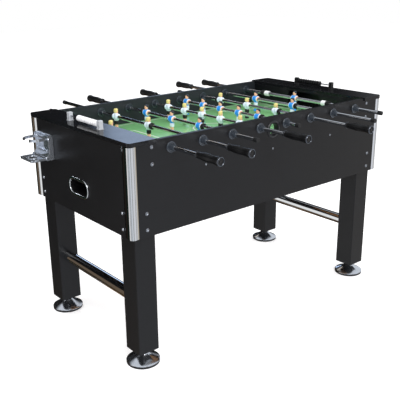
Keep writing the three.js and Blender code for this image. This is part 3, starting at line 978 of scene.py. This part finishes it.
def alongY(pattern, name, x, y, way):
    # a copy of a piece made along +Z, laid along +Y or -Y
    return laid(copyOf(pattern, name), (-way * quarter, 0, 0), (x, y, rodHeight))


patternHandle, patternCap, patternRings = handlePattern()
patternBumper = bumperPattern()
patternStop = stopPattern()
whiteCollar = mouldedPlastic("whiteNylonCollar", "f1f2f4", "e2e4e8", 0.35)

teams = {}
for node in frame["nodes"]:
    if "_figure_" in node:
        number, team = node.split("_")[1:3]
        teams.setdefault(int(number), (team, []))[1].append(node)



def rodParts(number, team, nodes):
    # one rod: its tube and end cap slide, its handle, bumpers and stops spin with the figures
    s = rodSet
    x, name = rodLines[number - 1], f"rod{number}"
    slider, spinner = f"rod_{number}_slider", f"rod_{number}_spinner"
    low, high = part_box(f"rod_{number}_tube")
    handleLow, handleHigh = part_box(f"rod_{number}_handle")
    way = -1 if team == "white" else 1  # which side the handle is on
    stubEnd = low.y if way > 0 else high.y
    handleStart = handleLow.y if way > 0 else handleHigh.y
    start = stubEnd + way * s["capLap"]
    length = abs(handleStart + way * s["inHandle"] - start)
    radius, ease = s["radius"], s["endEase"]
    tube = turned(name + "Tube", [
        (radius - ease, 0.0), (radius, ease), (radius, length - ease), (radius - ease, length),
    ])
    laid(tube, (-way * quarter, 0, 0), (x, start, rodHeight))
    dress(tube, slider, rodChrome, [f"rod_{number}_tube"])
    radius, length = s["cap"], s["capLength"]
    endCap = turned(name + "EndCap", [
        (radius - 3.5 * mm, 0.0), (radius - 1 * mm, 0.7 * mm), (radius, 2.4 * mm),
        (radius, length - 3 * mm), (radius - 0.3 * mm, length - 2.4 * mm),
        (radius, length - 1.8 * mm), (radius - 0.4 * mm, length),
        (s["radius"] + 0.1 * mm, length),
    ])
    laid(endCap, (-way * quarter, 0, 0), (x, stubEnd, rodHeight))
    dress(endCap, slider, rubber)
    for pattern, word, material, slot, replaces in (
        (patternHandle, "Handle", grip, "black_plastic", [f"rod_{number}_handle"]),
        (patternCap, "HandleCap", blackAbs, "black_plastic", []),
        (patternRings, "HandleRings", darkZinc, "chrome", []),
    ):
        piece = alongY(pattern, name + word, x, handleStart, way)
        dress(piece, spinner, material, replaces)
    middles = [sum(p.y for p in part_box(node)) / 2 for node in nodes]
    centre = sum(middles) / len(middles)
    for side, word in ((-1, "Near"), (1, "Far")):
        bumpers = [(f"{name}{word}Bumper",
                    centre + side * (max(middles) - centre + s["fist"] + s["play"]))]
        if len(nodes) == 1:
            place = centre + side * s["stopPlace"]
            collar = alongY(patternStop, f"{name}{word}Stop", x, place, side)
            dress(collar, spinner, whiteCollar)
            outer = place + side * (s["stopLength"] / 2 + s["play"])
            bumpers = [(f"{name}{word}Bumper{order + 1}",
                        outer + side * order * s["bumperLength"]) for order in range(2)]
        for label, place in bumpers:
            bumper = alongY(patternBumper, label, x, place, side)
            dress(bumper, spinner, rubber)


for number, (team, nodes) in sorted(teams.items()):
    rodParts(number, team, nodes)
for pattern in (patternHandle, patternCap, patternRings, patternBumper, patternStop):
    bpy.data.objects.remove(pattern)
print("rods made")


figureSet = {
    "levels": 2,
    # rings from the bottom up: height, half depth along X, half width along Y, shift along X
    "torso": [(-20, 8.4, 11.4, 0), (-12, 9.2, 12.2, 0), (-2, 11.0, 14.4, 0.4),
              (7, 10.8, 15.6, 0.2), (12, 9.0, 13.6, -0.2), (15, 5.4, 6.4, -0.4)],
    "shorts": [(-35, 7.0, 10.2, 0), (-34, 8.6, 11.6, 0), (-26, 9.0, 11.8, 0),
               (-19, 8.6, 11.0, 0), (-17, 6.5, 8.5, 0)],
    "legs": [(-53, 5.0, 8.4, 0), (-50, 5.8, 9.0, 0), (-44, 6.2, 9.2, -0.4),
             (-38, 6.0, 9.0, 0.3), (-32, 6.0, 8.6, 0)],
    "shoes": [(-62, 8.6, 10.6, 0), (-61, 9.0, 11.0, 0), (-56, 8.6, 10.8, 0),
              (-52, 6.8, 9.8, -0.2), (-50, 5.6, 8.6, -0.4)],
    "head": [(11, 4.8, 5.0, 0), (13.5, 6.4, 6.2, 0.7), (18, 8.0, 7.4, 0.7), (25, 8.6, 8.2, 0.2),
             (30, 8.0, 7.6, -0.2), (33.4, 4.8, 4.8, -0.4)],
    "hair": [(17.6, 5.0, 7.6, -4.6), (20.5, 6.2, 8.8, -4.0), (26, 8.0, 9.5, -2.2),
             (30.4, 9.7, 9.5, -0.2), (33.8, 8.2, 7.9, -0.4), (35.4, 4.4, 4.4, -0.6)],
    "socks": [(-52, 6.6, 9.4, -0.3), (-51, 6.9, 9.7, -0.3), (-48, 6.8, 9.6, -0.4),
              (-47, 5.8, 8.8, -0.4)],
}


def stacked(name, rings, levels):
    # a rounded form pulled up ring by ring from an eight-sided disc, then subdivided
    (z, depth, width, shift), rest = rings[0], rings[1:]
    bpy.ops.mesh.primitive_circle_add(
        vertices=8, radius=1.12, fill_type="NGON", rotation=(0, 0, math.pi / 8)
    )
    piece = bpy.context.object
    piece.name = name
    settle(piece)
    edit(piece)
    bpy.ops.mesh.select_all(action="SELECT")
    bpy.ops.transform.resize(value=(depth * mm, width * mm, 1), center_override=(0, 0, 0))
    bpy.ops.transform.translate(value=(shift * mm, 0, z * mm))
    for nextZ, nextDepth, nextWidth, nextShift in rest:
        step = ((nextShift - shift) * mm, 0, (nextZ - z) * mm)
        bpy.ops.mesh.extrude_region_move(TRANSFORM_OT_translate={"value": step})
        bpy.ops.transform.resize(value=(nextDepth / depth, nextWidth / width, 1),
                                 center_override=(nextShift * mm, 0, nextZ * mm))
        z, depth, width, shift = nextZ, nextDepth, nextWidth, nextShift
    leaveEdit()
    outward(piece)
    applyModifier(piece, "SUBSURF", levels=levels, render_levels=levels)
    smooth(piece, 60)
    return piece


def paintedPlastic(name, colour, shade, roughness=0.38):
    # paint over moulded plastic: slightly uneven in tone and in gloss, with a soft orange peel
    material, tree, shader, place = startMaterial(name, roughness=roughness)
    cloud, peel = (
        addNode(tree, "ShaderNodeTexNoise", None,
                {"Vector": place, "Scale": perFeature(size), "Detail": detail})
        for size, detail in ((11, 3.0), (1.4, 1.0))
    )
    tone = addNode(tree, "ShaderNodeMix", {"data_type": "RGBA"},
                   {0: cloud.outputs["Fac"], 6: hexColour(shade), 7: hexColour(colour)})
    gloss = addNode(tree, "ShaderNodeMapRange", None,
                    {"Value": cloud.outputs["Fac"],
                     "To Min": roughness - 0.06, "To Max": roughness + 0.08})
    bump = addNode(tree, "ShaderNodeBump", None,
                   {"Height": peel.outputs["Fac"], "Strength": 0.2, "Distance": 0.05 * mm})
    tree.links.new(tone.outputs[2], shader.inputs["Base Color"])
    tree.links.new(gloss.outputs[0], shader.inputs["Roughness"])
    tree.links.new(bump.outputs[0], shader.inputs["Normal"])
    return material


paint = {
    "skin": paintedPlastic("skinPaint", "f6c6a4", "edb490"),
    "blond": paintedPlastic("blondPaint", "eadc94", "d9c878"),
    "dark": paintedPlastic("darkHairPaint", "2c3440", "1d222b"),
    "white": paintedPlastic("whitePaint", "eef6ff", "dcebff"),
    "blue": paintedPlastic("bluePaint", "3fa8ff", "1f86ea"),
    "black": paintedPlastic("blackPaint", "17171a", "101012"),
    "yellow": paintedPlastic("yellowPaint", "f0cf3e", "e0b92a"),
    "eye": paintedPlastic("eyePaint", "26211f", "1a1614"),
    "lips": paintedPlastic("lipPaint", "c9705c", "bb604c"),
}
kit = {
    "white": {"hair": "blond", "torso": "white", "trim": "white", "shorts": "black", "legs": "skin",
              "shoes": "black", "gloves": "white", "facing": 1},
    "blue": {"hair": "dark", "torso": "blue", "trim": "white", "shorts": "white", "legs": "skin",
             "shoes": "blue", "gloves": "skin", "facing": -1},
}


def painted(piece, colour):
    piece.data.materials.clear()
    piece.data.materials.append(paint[colour])
    return piece


armSet = {"sleeve": 13.4 * mm, "hand": 11 * mm}


def arm(side, shirt, trim, glove):
    # a sleeve, its hem and a fist, turned about the rod's own line
    wide, hand = armSet["sleeve"], armSet["hand"]
    pieces = []
    for name, colour, profile in (
        ("sleeve", shirt, [(bore, 6 * mm), (wide - 0.6 * mm, 6 * mm), (wide, 8 * mm),
                           (wide, 11.6 * mm), (bore, 11.6 * mm)]),
        ("hem", trim, [(bore, 11.7 * mm), (wide + 0.1 * mm, 11.7 * mm),
                       (wide + 0.1 * mm, 13.6 * mm), (wide - 0.8 * mm, 14.2 * mm),
                       (bore, 14.2 * mm)]),
        ("hand", glove, [(bore, 14.3 * mm), (hand, 14.3 * mm), (hand, 16 * mm),
                         (hand - 1 * mm, 17 * mm), (bore, 17 * mm)]),
    ):
        piece = painted(openTube(name, profile, sides=24), colour)
        laid(piece, (-side * quarter, 0, 0))
        smooth(piece, 50)
        pieces.append(piece)
    return pieces


def ballAt(name, radius, place, squash, colour, rings=6):
    # a squashed ball; its radius and place are in millimetres
    bpy.ops.mesh.primitive_uv_sphere_add(
        segments=rings * 2, ring_count=rings, radius=radius * mm, location=Vector(place) * mm
    )
    piece = bpy.context.object
    piece.name = name
    piece.scale = squash
    settle(piece)
    smooth(piece, 60)
    return painted(piece, colour)


def figurePattern(team):
    # one player facing +X with the rod's line through the chest at the origin
    k, s = kit[team], figureSet
    parts = []
    for part in ("torso", "shorts", "legs", "shoes", "head", "hair"):
        colour = "skin" if part == "head" else k[part]
        piece = painted(stacked(part, s[part], s["levels"]), colour)
        if part == "hair":
            # cut the fringe so the face stays clear
            edit(piece)
            bpy.ops.mesh.select_all(action="SELECT")
            bpy.ops.mesh.bisect(plane_co=(4.6 * mm, 0, 27.6 * mm), plane_no=(0.82, 0, -0.57),
                                clear_outer=True, use_fill=True)
            leaveEdit()
            smooth(piece, 50)
        if part == "torso":
            drill(piece, bore, 60 * mm, turn=lyingY)
            smooth(piece, 50)
        parts.append(piece)
    for x in (6.4, -6.6):  # a groove between the legs, front and back
        drill(parts[2], 1.5 * mm, 19 * mm, (x * mm, 0, -44 * mm), sides=12)
    smooth(parts[2], 50)
    for side in (-1, 1):
        parts += arm(side, k["torso"], k["trim"], k["gloves"])
        shoulder = ballAt("shoulder", 7.4, (-0.2, side * 10.6, 5.6), (1.1, 0.8, 0.95),
                          k["torso"], 10)
        drill(shoulder, bore, 60 * mm, turn=lyingY)
        smooth(shoulder, 50)
        parts.append(shoulder)
        parts.append(ballAt("ear", 1.9, (-0.6, side * 8.3, 22.6), (0.7, 0.5, 1), "skin"))
        parts.append(ballAt("eye", 0.95, (8.35, side * 3.1, 24.2), (0.6, 1, 1.1), "eye"))
    parts.append(ballAt("nose", 1.4, (9.1, 0, 21.6), (0.9, 0.8, 1.25), "skin"))
    parts.append(ballAt("mouth", 1.6, (8.1, 0, 18.2), (0.5, 1.3, 0.4), "lips"))
    collar = openTube("collar", inMm([(5, 13.6), (6.6, 13.2), (6.4, 15.2), (5.2, 15.8)]), sides=24)
    smooth(collar, 50)
    parts.append(painted(collar, k["trim"]))
    # the crest on the left of the chest
    parts.append(ballAt("crest", 2, (10.1, 5.2, 3.2), (0.35, 0.9, 1.15), "yellow", 8))
    if team == "blue":
        parts.append(painted(stacked("socks", s["socks"], 1), "blue"))
    piece = joined("figure", parts)
    if k["facing"] < 0:
        laid(piece, (0, 0, math.pi))
    return piece


patternFigures = {team: figurePattern(team) for team in kit}
for number, (team, nodes) in sorted(teams.items()):
    for order, node in enumerate(sorted(nodes), 1):
        low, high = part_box(node)
        place = (rodLines[number - 1], (low.y + high.y) / 2, rodHeight)
        player = copyOf(patternFigures[team], f"rod{number}{team.title()}Figure{order}", place)
        dress(player, f"rod_{number}_spinner", None, [node])
for pattern in patternFigures.values():
    bpy.data.objects.remove(pattern)
print("figures made")


scorerSet = {
    "post": 18 * mm, "height": 34 * mm, "offset": 113 * mm, "inset": 50 * mm,
    "barHeight": 19.5 * mm, "baseRim": 2 * mm, "baseThick": 2.4 * mm,
    "bar": 3 * mm, "bead": 12 * mm, "beads": 10, "grooveInset": 5.6 * mm, "grooveDeep": 6 * mm,
}


def scorerPost(name, x, y, material):
    s = scorerSet
    half = s["post"] / 2
    post = block(name, (x - half, y - half, boardTop),
                 (x + half, y + half, boardTop + s["height"]))
    edit(post)
    pick(post, "faces", lambda f: abs(f.normal.x) > 0.9)
    bpy.ops.mesh.inset(thickness=s["grooveInset"], depth=0, use_individual=True)
    bpy.ops.mesh.inset(thickness=0.4 * mm, depth=-s["grooveDeep"], use_individual=True)
    leaveEdit()
    applyModifier(post, "BEVEL", width=1.4 * mm, segments=3, limit_method="ANGLE", angle_limit=1.2)
    smooth(post)
    dress(post, "frame", material)
    half += s["baseRim"]
    foot = block(name + "Base", (x - half, y - half, boardTop + 0.05 * mm),
                 (x + half, y + half, boardTop + s["baseThick"]), 0.9 * mm, 3)
    smooth(foot)
    dress(foot, "frame", material)


def scorer(word, side, material, beadMaterial):
    s = scorerSet
    x = (boardLow.x if side < 0 else rightBoardHigh.x) - side * s["inset"]
    for sideY, sideWord in ((-1, "Near"), (1, "Far")):
        scorerPost(f"{word}Scorer{sideWord}Post", x, middleY + sideY * s["offset"], material)
    barHalf = s["offset"] - s["post"] / 2 + 1 * mm
    bar = turned(f"{word}ScorerBar", [(s["bar"] * 0.9, -barHalf), (s["bar"] * 0.9, barHalf)],
                 sides=24)
    laid(bar, lyingY, (x, middleY, boardTop + s["barHeight"]))
    dress(bar, "frame", zincPlate)
    node = f"{word}_score_beads"
    low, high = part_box(node)
    width = (high.y - low.y) / s["beads"]
    rim = s["bead"]
    # half a bead's profile, as shares of its radius and width; the other half mirrors it
    half = [(0.38, 0.0), (0.4, 0.24), (0.84, 0.28), (0.97, 0.34), (1.0, 0.42)]
    half = [(rim * across, max(width * along, 0.2 * mm)) for across, along in half]
    half.insert(0, (s["bar"] + 0.3 * mm, 0.2 * mm))
    profile = half + [(across, width - along) for across, along in half[::-1]]
    bead = openTube("bead", profile, sides=36)
    laid(bead, (-quarter, 0, 0))
    smooth(bead, 40)
    beads = [copyOf(bead, "bead", (x, low.y + i * width, boardTop + s["barHeight"]))
             for i in range(s["beads"])]
    bpy.data.objects.remove(bead)
    dress(joined(f"{word}ScoreBeads", beads), f"{word}_beads", beadMaterial, [node])


scorer("left", -1, silverPlastic, whiteStyrene)
scorer("right", 1, blackAbs, blackAbs)
print("scorers made")


holderSet = {
    "sheet": 2 * mm, "earDeep": 38 * mm, "pin": 4 * mm, "armHalf": 46 * mm, "armLength": 31 * mm,
    "gapHalf": 27 * mm, "bandWide": 7 * mm, "bandThick": 10 * mm, "trayThick": 10 * mm,
    "trayHalf": 53 * mm, "slots": 3,
}
bracketLow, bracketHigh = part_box("cup_holder_bracket")
holderY = (bracketLow.y + bracketHigh.y) / 2
joints = frame["record"]["behaviour"]["joints"]
jointPlace = {j["name"]: Vector(j["pos_m"]) for j in joints if "pos_m" in j}
ringAxis = jointPlace["cup_ring_fold"]
trayAxis = jointPlace["cup_tray_fold"]


def bracket():
    # pressed sheet: a back plate whose two sides are folded out as ears, cut back between pivots
    s = holderSet
    back = bracketHigh.x
    front = back - s["earDeep"] + 0.5 * mm
    fold = -(s["earDeep"] - s["sheet"])
    plate = block("cupHolderBracket", (back - s["sheet"], bracketLow.y, bracketLow.z),
                  (back, bracketHigh.y, bracketHigh.z))
    edit(plate)
    for cut in (bracketLow.y + s["sheet"], bracketHigh.y - s["sheet"]):
        bpy.ops.mesh.select_all(action="SELECT")
        bpy.ops.mesh.bisect(plane_co=(0, cut, 0), plane_no=(0, 1, 0))
    pick(plate, "faces", lambda f: f.normal.x < -0.9 and abs(middleOf(f).y - holderY) > 0.04)
    bpy.ops.mesh.extrude_region_move(TRANSFORM_OT_translate={"value": (fold, 0, 0)})
    for height in (0.28, 0.5, 0.72):
        z = bracketLow.z + height * (bracketHigh.z - bracketLow.z)
        bpy.ops.mesh.select_all(action="SELECT")
        bpy.ops.mesh.bisect(plane_co=(0, 0, z), plane_no=(0, 0, 1))
    middleZ = (bracketLow.z + bracketHigh.z) / 2
    pick(plate, "verts", lambda v: v.co.x < front and abs(v.co.z - middleZ) < 0.03)
    bpy.ops.transform.translate(value=(18 * mm, 0, 0))
    pick(plate, "verts", lambda v: v.co.x < front and v.co.z > middleZ)
    bpy.ops.transform.translate(value=(12 * mm, 0, 0))
    pick(plate, "edges", lambda e: runsAlong(e, 1) and abs(e.verts[0].co.z - middleZ) > 0.045
         and e.verts[0].co.x < back - 20 * mm)
    bpy.ops.mesh.bevel(offset=8 * mm, segments=6)
    leaveEdit()
    applyModifier(plate, "BEVEL", width=0.6 * mm, segments=2, limit_method="ANGLE", angle_limit=1.0)
    smooth(plate)
    rivets = []
    for axis in (ringAxis, trayAxis):
        for side in (-1, 1):
            edge = bracketLow.y if side < 0 else bracketHigh.y
            rivet = turned("rivet", inMm([(5.2, 0), (5, 1), (3.6, 1.9), (1.2, 2.2), (0, 1.6)]),
                           sides=24)
            rivets.append(laid(rivet, (-side * quarter, 0, 0), (axis.x, edge, axis.z)))
    for z in (bracketLow.z + 26 * mm, bracketHigh.z - 26 * mm):
        rivets.append(copyOf(patternScrew, "screw", (back - s["sheet"], holderY, z), -quarter))
    whole = joined("cupHolderBracket", [plate, *rivets])
    dress(whole, "frame", satinSteel, ["cup_holder_bracket"])


def hingePin(radius, axis, ease=0.0):
    # a pin between the bracket's ears, its ends a little thinner where it is eased
    half = (bracketHigh.y - bracketLow.y) / 2 - holderSet["sheet"] - 0.5 * mm
    profile = [(radius, -half), (radius, half)]
    if ease:
        thin = radius * 0.9
        profile = [(thin, -half), (radius, ease - half), (radius, half - ease), (thin, half)]
    pin = turned("pin", profile, sides=24 if ease else 20)
    return laid(pin, lyingY, (axis.x, holderY, axis.z))


def ring():
    # two pressed arms that curve round a cup and stop short of each other, on one pin; each is
    # a flat bar pulled from its tip round the cup and drawn straight back to the pin
    s = holderSet
    sweep = math.acos(s["gapHalf"] / s["armHalf"])
    centre = Vector((ringAxis.x - s["armLength"], holderY, ringAxis.z))
    steps = 14

    def onRing(step):
        turn = sweep * (1 - step / steps)
        return centre + Vector((-math.sin(turn), math.cos(turn), 0)) * s["armHalf"]

    tip = onRing(0)
    bar = block("cupHolderRing", (-0.05 * mm, -s["bandWide"] / 2, -s["bandThick"] / 2),
                (0.05 * mm, s["bandWide"] / 2, s["bandThick"] / 2))
    laid(bar, (0, 0, sweep), tip)
    edit(bar)
    ahead = Vector((math.cos(sweep), math.sin(sweep), 0))
    pick(bar, "faces", lambda f: f.normal.dot(ahead) > 0.9)
    place = tip
    for step in range(1, steps + 1):
        after = onRing(step)
        bpy.ops.mesh.extrude_region_move(TRANSFORM_OT_translate={"value": after - place})
        bpy.ops.transform.rotate(value=sweep / steps, orient_axis="Z", center_override=after)
        place = after
    straight = s["armLength"] + s["pin"] + 1 * mm
    bpy.ops.mesh.extrude_region_move(TRANSFORM_OT_translate={"value": (straight, 0, 0)})
    leaveEdit()
    applyModifier(bar, "BEVEL", width=1.6 * mm, segments=3, limit_method="ANGLE", angle_limit=1.0)
    half = copyOf(bar, "half")
    half.scale.y = -1
    half.location.y = 2 * holderY
    settle(half)
    outward(half)
    arms = joined("cupHolderRing", [bar, half, hingePin(s["pin"], ringAxis, 1 * mm)])
    smooth(arms, 40)
    dress(arms, "cup_ring", satinSteel, ["cup_holder_ring"])
    tips = []
    for side in (-1, 1):
        # soft tips pushed over the ends of the arms
        place = centre + Vector((-math.sin(sweep), side * math.cos(sweep), 0)) * s["armHalf"]
        soft = block("tip", (-2 * mm, -s["bandWide"] / 2 - 1 * mm, -s["bandThick"] / 2 - 1 * mm),
                     (5 * mm, s["bandWide"] / 2 + 1 * mm, s["bandThick"] / 2 + 1 * mm), 1.8 * mm, 3)
        tips.append(laid(soft, (0, 0, side * sweep), place))
    soft = joined("cupHolderTips", tips)
    smooth(soft, 50)
    dress(soft, "cup_ring", rubber)


def tray():
    # a pressed tray with a rim, a round seat for the cup and three slots, hung on its pin
    s = holderSet
    low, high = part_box("cup_holder_tray")
    inner = trayAxis.x - 3 * mm
    top = trayAxis.z
    halfWidth = s["trayHalf"]
    plate = block("cupHolderTray", (low.x, holderY - halfWidth, top - s["trayThick"]),
                  (inner, holderY + halfWidth, top))
    edit(plate)
    pick(plate, "edges", lambda e: runsAlong(e, 2) and e.verts[0].co.x < low.x + 0.01)
    bpy.ops.mesh.bevel(offset=5 * mm, segments=5)
    pick(plate, "faces", lambda f: f.normal.z > 0.9)
    bpy.ops.mesh.inset(thickness=3 * mm)
    bpy.ops.mesh.inset(thickness=1.2 * mm, depth=-1.6 * mm)
    pick(plate, "faces", lambda f: f.normal.z < -0.9)
    bpy.ops.mesh.inset(thickness=2 * mm)
    hollow = s["trayThick"] - 4 * mm
    bpy.ops.mesh.extrude_region_move(TRANSFORM_OT_translate={"value": (0, 0, hollow)})
    leaveEdit()
    middle = Vector(((low.x + inner) / 2, holderY, top - 1.6 * mm))
    bpy.ops.mesh.primitive_torus_add(major_radius=26 * mm, minor_radius=1.6 * mm, major_segments=64,
                                     minor_segments=12, location=middle)
    rib = bpy.context.object
    for slot in range(s["slots"]):
        turn = math.radians(slot * 360 / s["slots"] + 30)
        spot = middle + Vector((math.cos(turn), math.sin(turn), 0)) * 17 * mm
        bpy.ops.mesh.primitive_cylinder_add(
            vertices=24, radius=3.4 * mm, depth=30 * mm, location=spot
        )
        slotCutter = bpy.context.object
        slotCutter.scale = (1, 2, 1)
        slotCutter.rotation_euler.z = turn
        cutAway(plate, slotCutter)
    applyModifier(plate, "BEVEL", width=0.8 * mm, segments=2, limit_method="ANGLE", angle_limit=1.0)
    lugs = []
    for side in (-1, 1):
        ys = sorted(holderY + side * (halfWidth - inset * mm) for inset in (0.4, 9))
        lugs.append(block("lug", (inner - 1 * mm, ys[0], top - 7 * mm),
                          (trayAxis.x + 3.6 * mm, ys[1], trayAxis.z + 3.4 * mm), 2.4 * mm, 4))
    pin = hingePin(3.2 * mm, trayAxis)
    piece = joined("cupHolderTray", [plate, rib, pin, *lugs])
    smooth(piece, 40)
    dress(piece, "cup_tray", satinSteel, ["cup_holder_tray"])


bracket()
bpy.data.objects.remove(patternScrew)
ring()
tray()
print("cup holder made")


studio = {
    "floor": "f7f7f8", "floorGlow": 0.3, "floorSize": 30.0,
    "keyPower": 90, "key": (-1.2, -3.2, 3.2), "keySize": 1.8,
    "fillPower": 30, "fill": (3.2, -1.6, 2.6), "fillSize": 1.6,
    "backPower": 45, "back": (0.6, 3.2, 3.0), "backSize": 1.8,
    "around": ("e6ebf2", 0.92),
    # what shines in the chrome: heading and height in degrees, half sizes, colour, strength
    "panels": [
        (90, -8, 60, 55, "111112", 1.0),
        (54, 15, 5, 5, "b4c8e6", 2.6),
        (72, 39, 8, 3, "fff4e6", 1.0),
        (46, 23, 3, 3, "e6ecf6", 1.0),
        (90, -38, 40, 13, "a98660", 0.5),
        (106, -18, 6, 30, "3a342d", 0.4),
        (117, -18, 3, 30, "24443f", 0.35),
        (128, -18, 5, 30, "9a8672", 0.45),
        (148, -12, 13, 30, "ffffff", 1.0),
        (176, -12, 6, 30, "a8a29a", 0.7),
        (-155, -12, 5, 30, "5d5d62", 0.5),
        (-100, -12, 6, 30, "a8a29a", 0.6),
        (-50, -14, 26, 20, "e3e4e8", 0.95),
        (-58, -14, 3, 20, "f4f6ff", 1.0),
        (-44, -14, 2, 20, "b9b4ae", 0.75),
        (-26, -12, 9, 20, "dcd2c2", 0.8),
    ],
}
view = {
    "place": (-1926 * mm, -2231 * mm, 1458 * mm), "aim": (-302 * mm, -258 * mm, 587 * mm),
    "roll": -0.67, "lens": 59.8,
}


def studioFloor():
    bpy.ops.mesh.primitive_plane_add(
        size=studio["floorSize"], location=(middleX, middleY, -0.5 * mm)
    )
    floor = bpy.context.object
    floor.name = "studioFloor"
    # matt white paint: it only catches a soft shade under the feet
    material, tree, shader, place = startMaterial(
        "paleFloor", roughness=0.9, Specular_IOR_Level=0.1
    )
    shader.inputs["Base Color"].default_value = hexColour(studio["floor"])
    shader.inputs["Emission Color"].default_value = (1, 1, 1, 1)
    shader.inputs["Emission Strength"].default_value = studio["floorGlow"]
    floor.data.materials.append(material)
    floor.visible_glossy = False  # the chrome sees the surround below instead


def surround():
    # an even white studio for the light, and one with dark and bright panels for what shines
    world = bpy.data.worlds.new("studioSurround")
    bpy.context.scene.world = world
    world.use_nodes = True
    tree = world.node_tree
    tree.nodes.clear()
    way = addNode(tree, "ShaderNodeTexCoord").outputs["Generated"]
    parts = addNode(tree, "ShaderNodeSeparateXYZ", None, {0: way})
    heading = addNode(tree, "ShaderNodeMath", {"operation": "ARCTAN2"},
                      {0: parts.outputs[1], 1: parts.outputs[0]})
    height = addNode(tree, "ShaderNodeMath", {"operation": "ARCSINE"}, {0: parts.outputs[2]})

    def glow(code, strength):
        return tuple(channel * strength for channel in hexColour(code)[:3]) + (1.0,)

    less, size = {"operation": "SUBTRACT"}, {"operation": "ABSOLUTE"}
    colour = glow(*studio["around"])
    for around, above, halfWide, halfHigh, code, strength in studio["panels"]:
        # how far the ray is from the panel's middle, across and up, as shares of its half sizes
        off = addNode(tree, "ShaderNodeMath", less,
                      {0: heading.outputs[0], 1: math.radians(around)})
        wrapped = addNode(tree, "ShaderNodeMath", {"operation": "WRAP"},
                          {0: off.outputs[0], 1: math.pi, 2: -math.pi})
        up = addNode(tree, "ShaderNodeMath", less, {0: height.outputs[0], 1: math.radians(above)})
        shares = []
        for node, half in ((wrapped, halfWide), (up, halfHigh)):
            apart = addNode(tree, "ShaderNodeMath", size, {0: node.outputs[0]})
            share = addNode(tree, "ShaderNodeMath", {"operation": "DIVIDE"},
                            {0: apart.outputs[0], 1: math.radians(half)})
            shares.append(share.outputs[0])
        far = addNode(tree, "ShaderNodeMath", {"operation": "MAXIMUM"},
                      {0: shares[0], 1: shares[1]})
        inside = addNode(tree, "ShaderNodeMapRange", {"interpolation_type": "SMOOTHSTEP"},
                         {"Value": far.outputs[0], "From Min": 1.12, "From Max": 0.84})
        mixed = addNode(tree, "ShaderNodeMix", {"data_type": "RGBA", "clamp_factor": True},
                        {0: inside.outputs[0], 6: colour, 7: glow(code, strength)})
        colour = mixed.outputs[2]
    plain = addNode(tree, "ShaderNodeBackground", None, {0: hexColour("ffffff"), 1: 1.0})
    shining = addNode(tree, "ShaderNodeBackground", None, {0: colour, 1: 1.0})
    rays = addNode(tree, "ShaderNodeLightPath")
    mixed = addNode(tree, "ShaderNodeMixShader", None,
                    {0: rays.outputs["Is Glossy Ray"], 1: plain.outputs[0], 2: shining.outputs[0]})
    addNode(tree, "ShaderNodeOutputWorld", None, {0: mixed.outputs[0]})


def softLight(name, power, place, size, shines):
    data = bpy.data.lights.new(name, "AREA")
    data.energy, data.size, data.shape = power, size, "SQUARE"
    light = bpy.data.objects.new(name, data)
    bpy.context.collection.objects.link(light)
    light.location = place
    light.visible_glossy = shines
    light.rotation_euler = (Vector((0, 0, 0.7)) - Vector(place)).to_track_quat("-Z", "Y").to_euler()


def productCamera():
    data = bpy.data.cameras.new("productCamera")
    data.lens, data.sensor_width = view["lens"], 36
    camera = bpy.data.objects.new("productCamera", data)
    bpy.context.collection.objects.link(camera)
    shift = Vector((middleX, middleY, 0))
    place, aim = (Vector(view[end]) + shift for end in ("place", "aim"))
    camera.location = place
    camera.rotation_euler = (aim - place).to_track_quat("-Z", "Y").to_euler()
    camera.rotation_euler.rotate_axis("Z", math.radians(view["roll"]))
    camera.data.clip_end = 60
    bpy.context.scene.camera = camera


studioFloor()
surround()
for word in ("key", "fill", "back"):
    softLight(word + "Light", studio[word + "Power"], studio[word], studio[word + "Size"],
              word == "key")  # only the key light is seen in what shines
productCamera()
bpy.context.scene.view_settings.view_transform = "Standard"
print("studio ready")
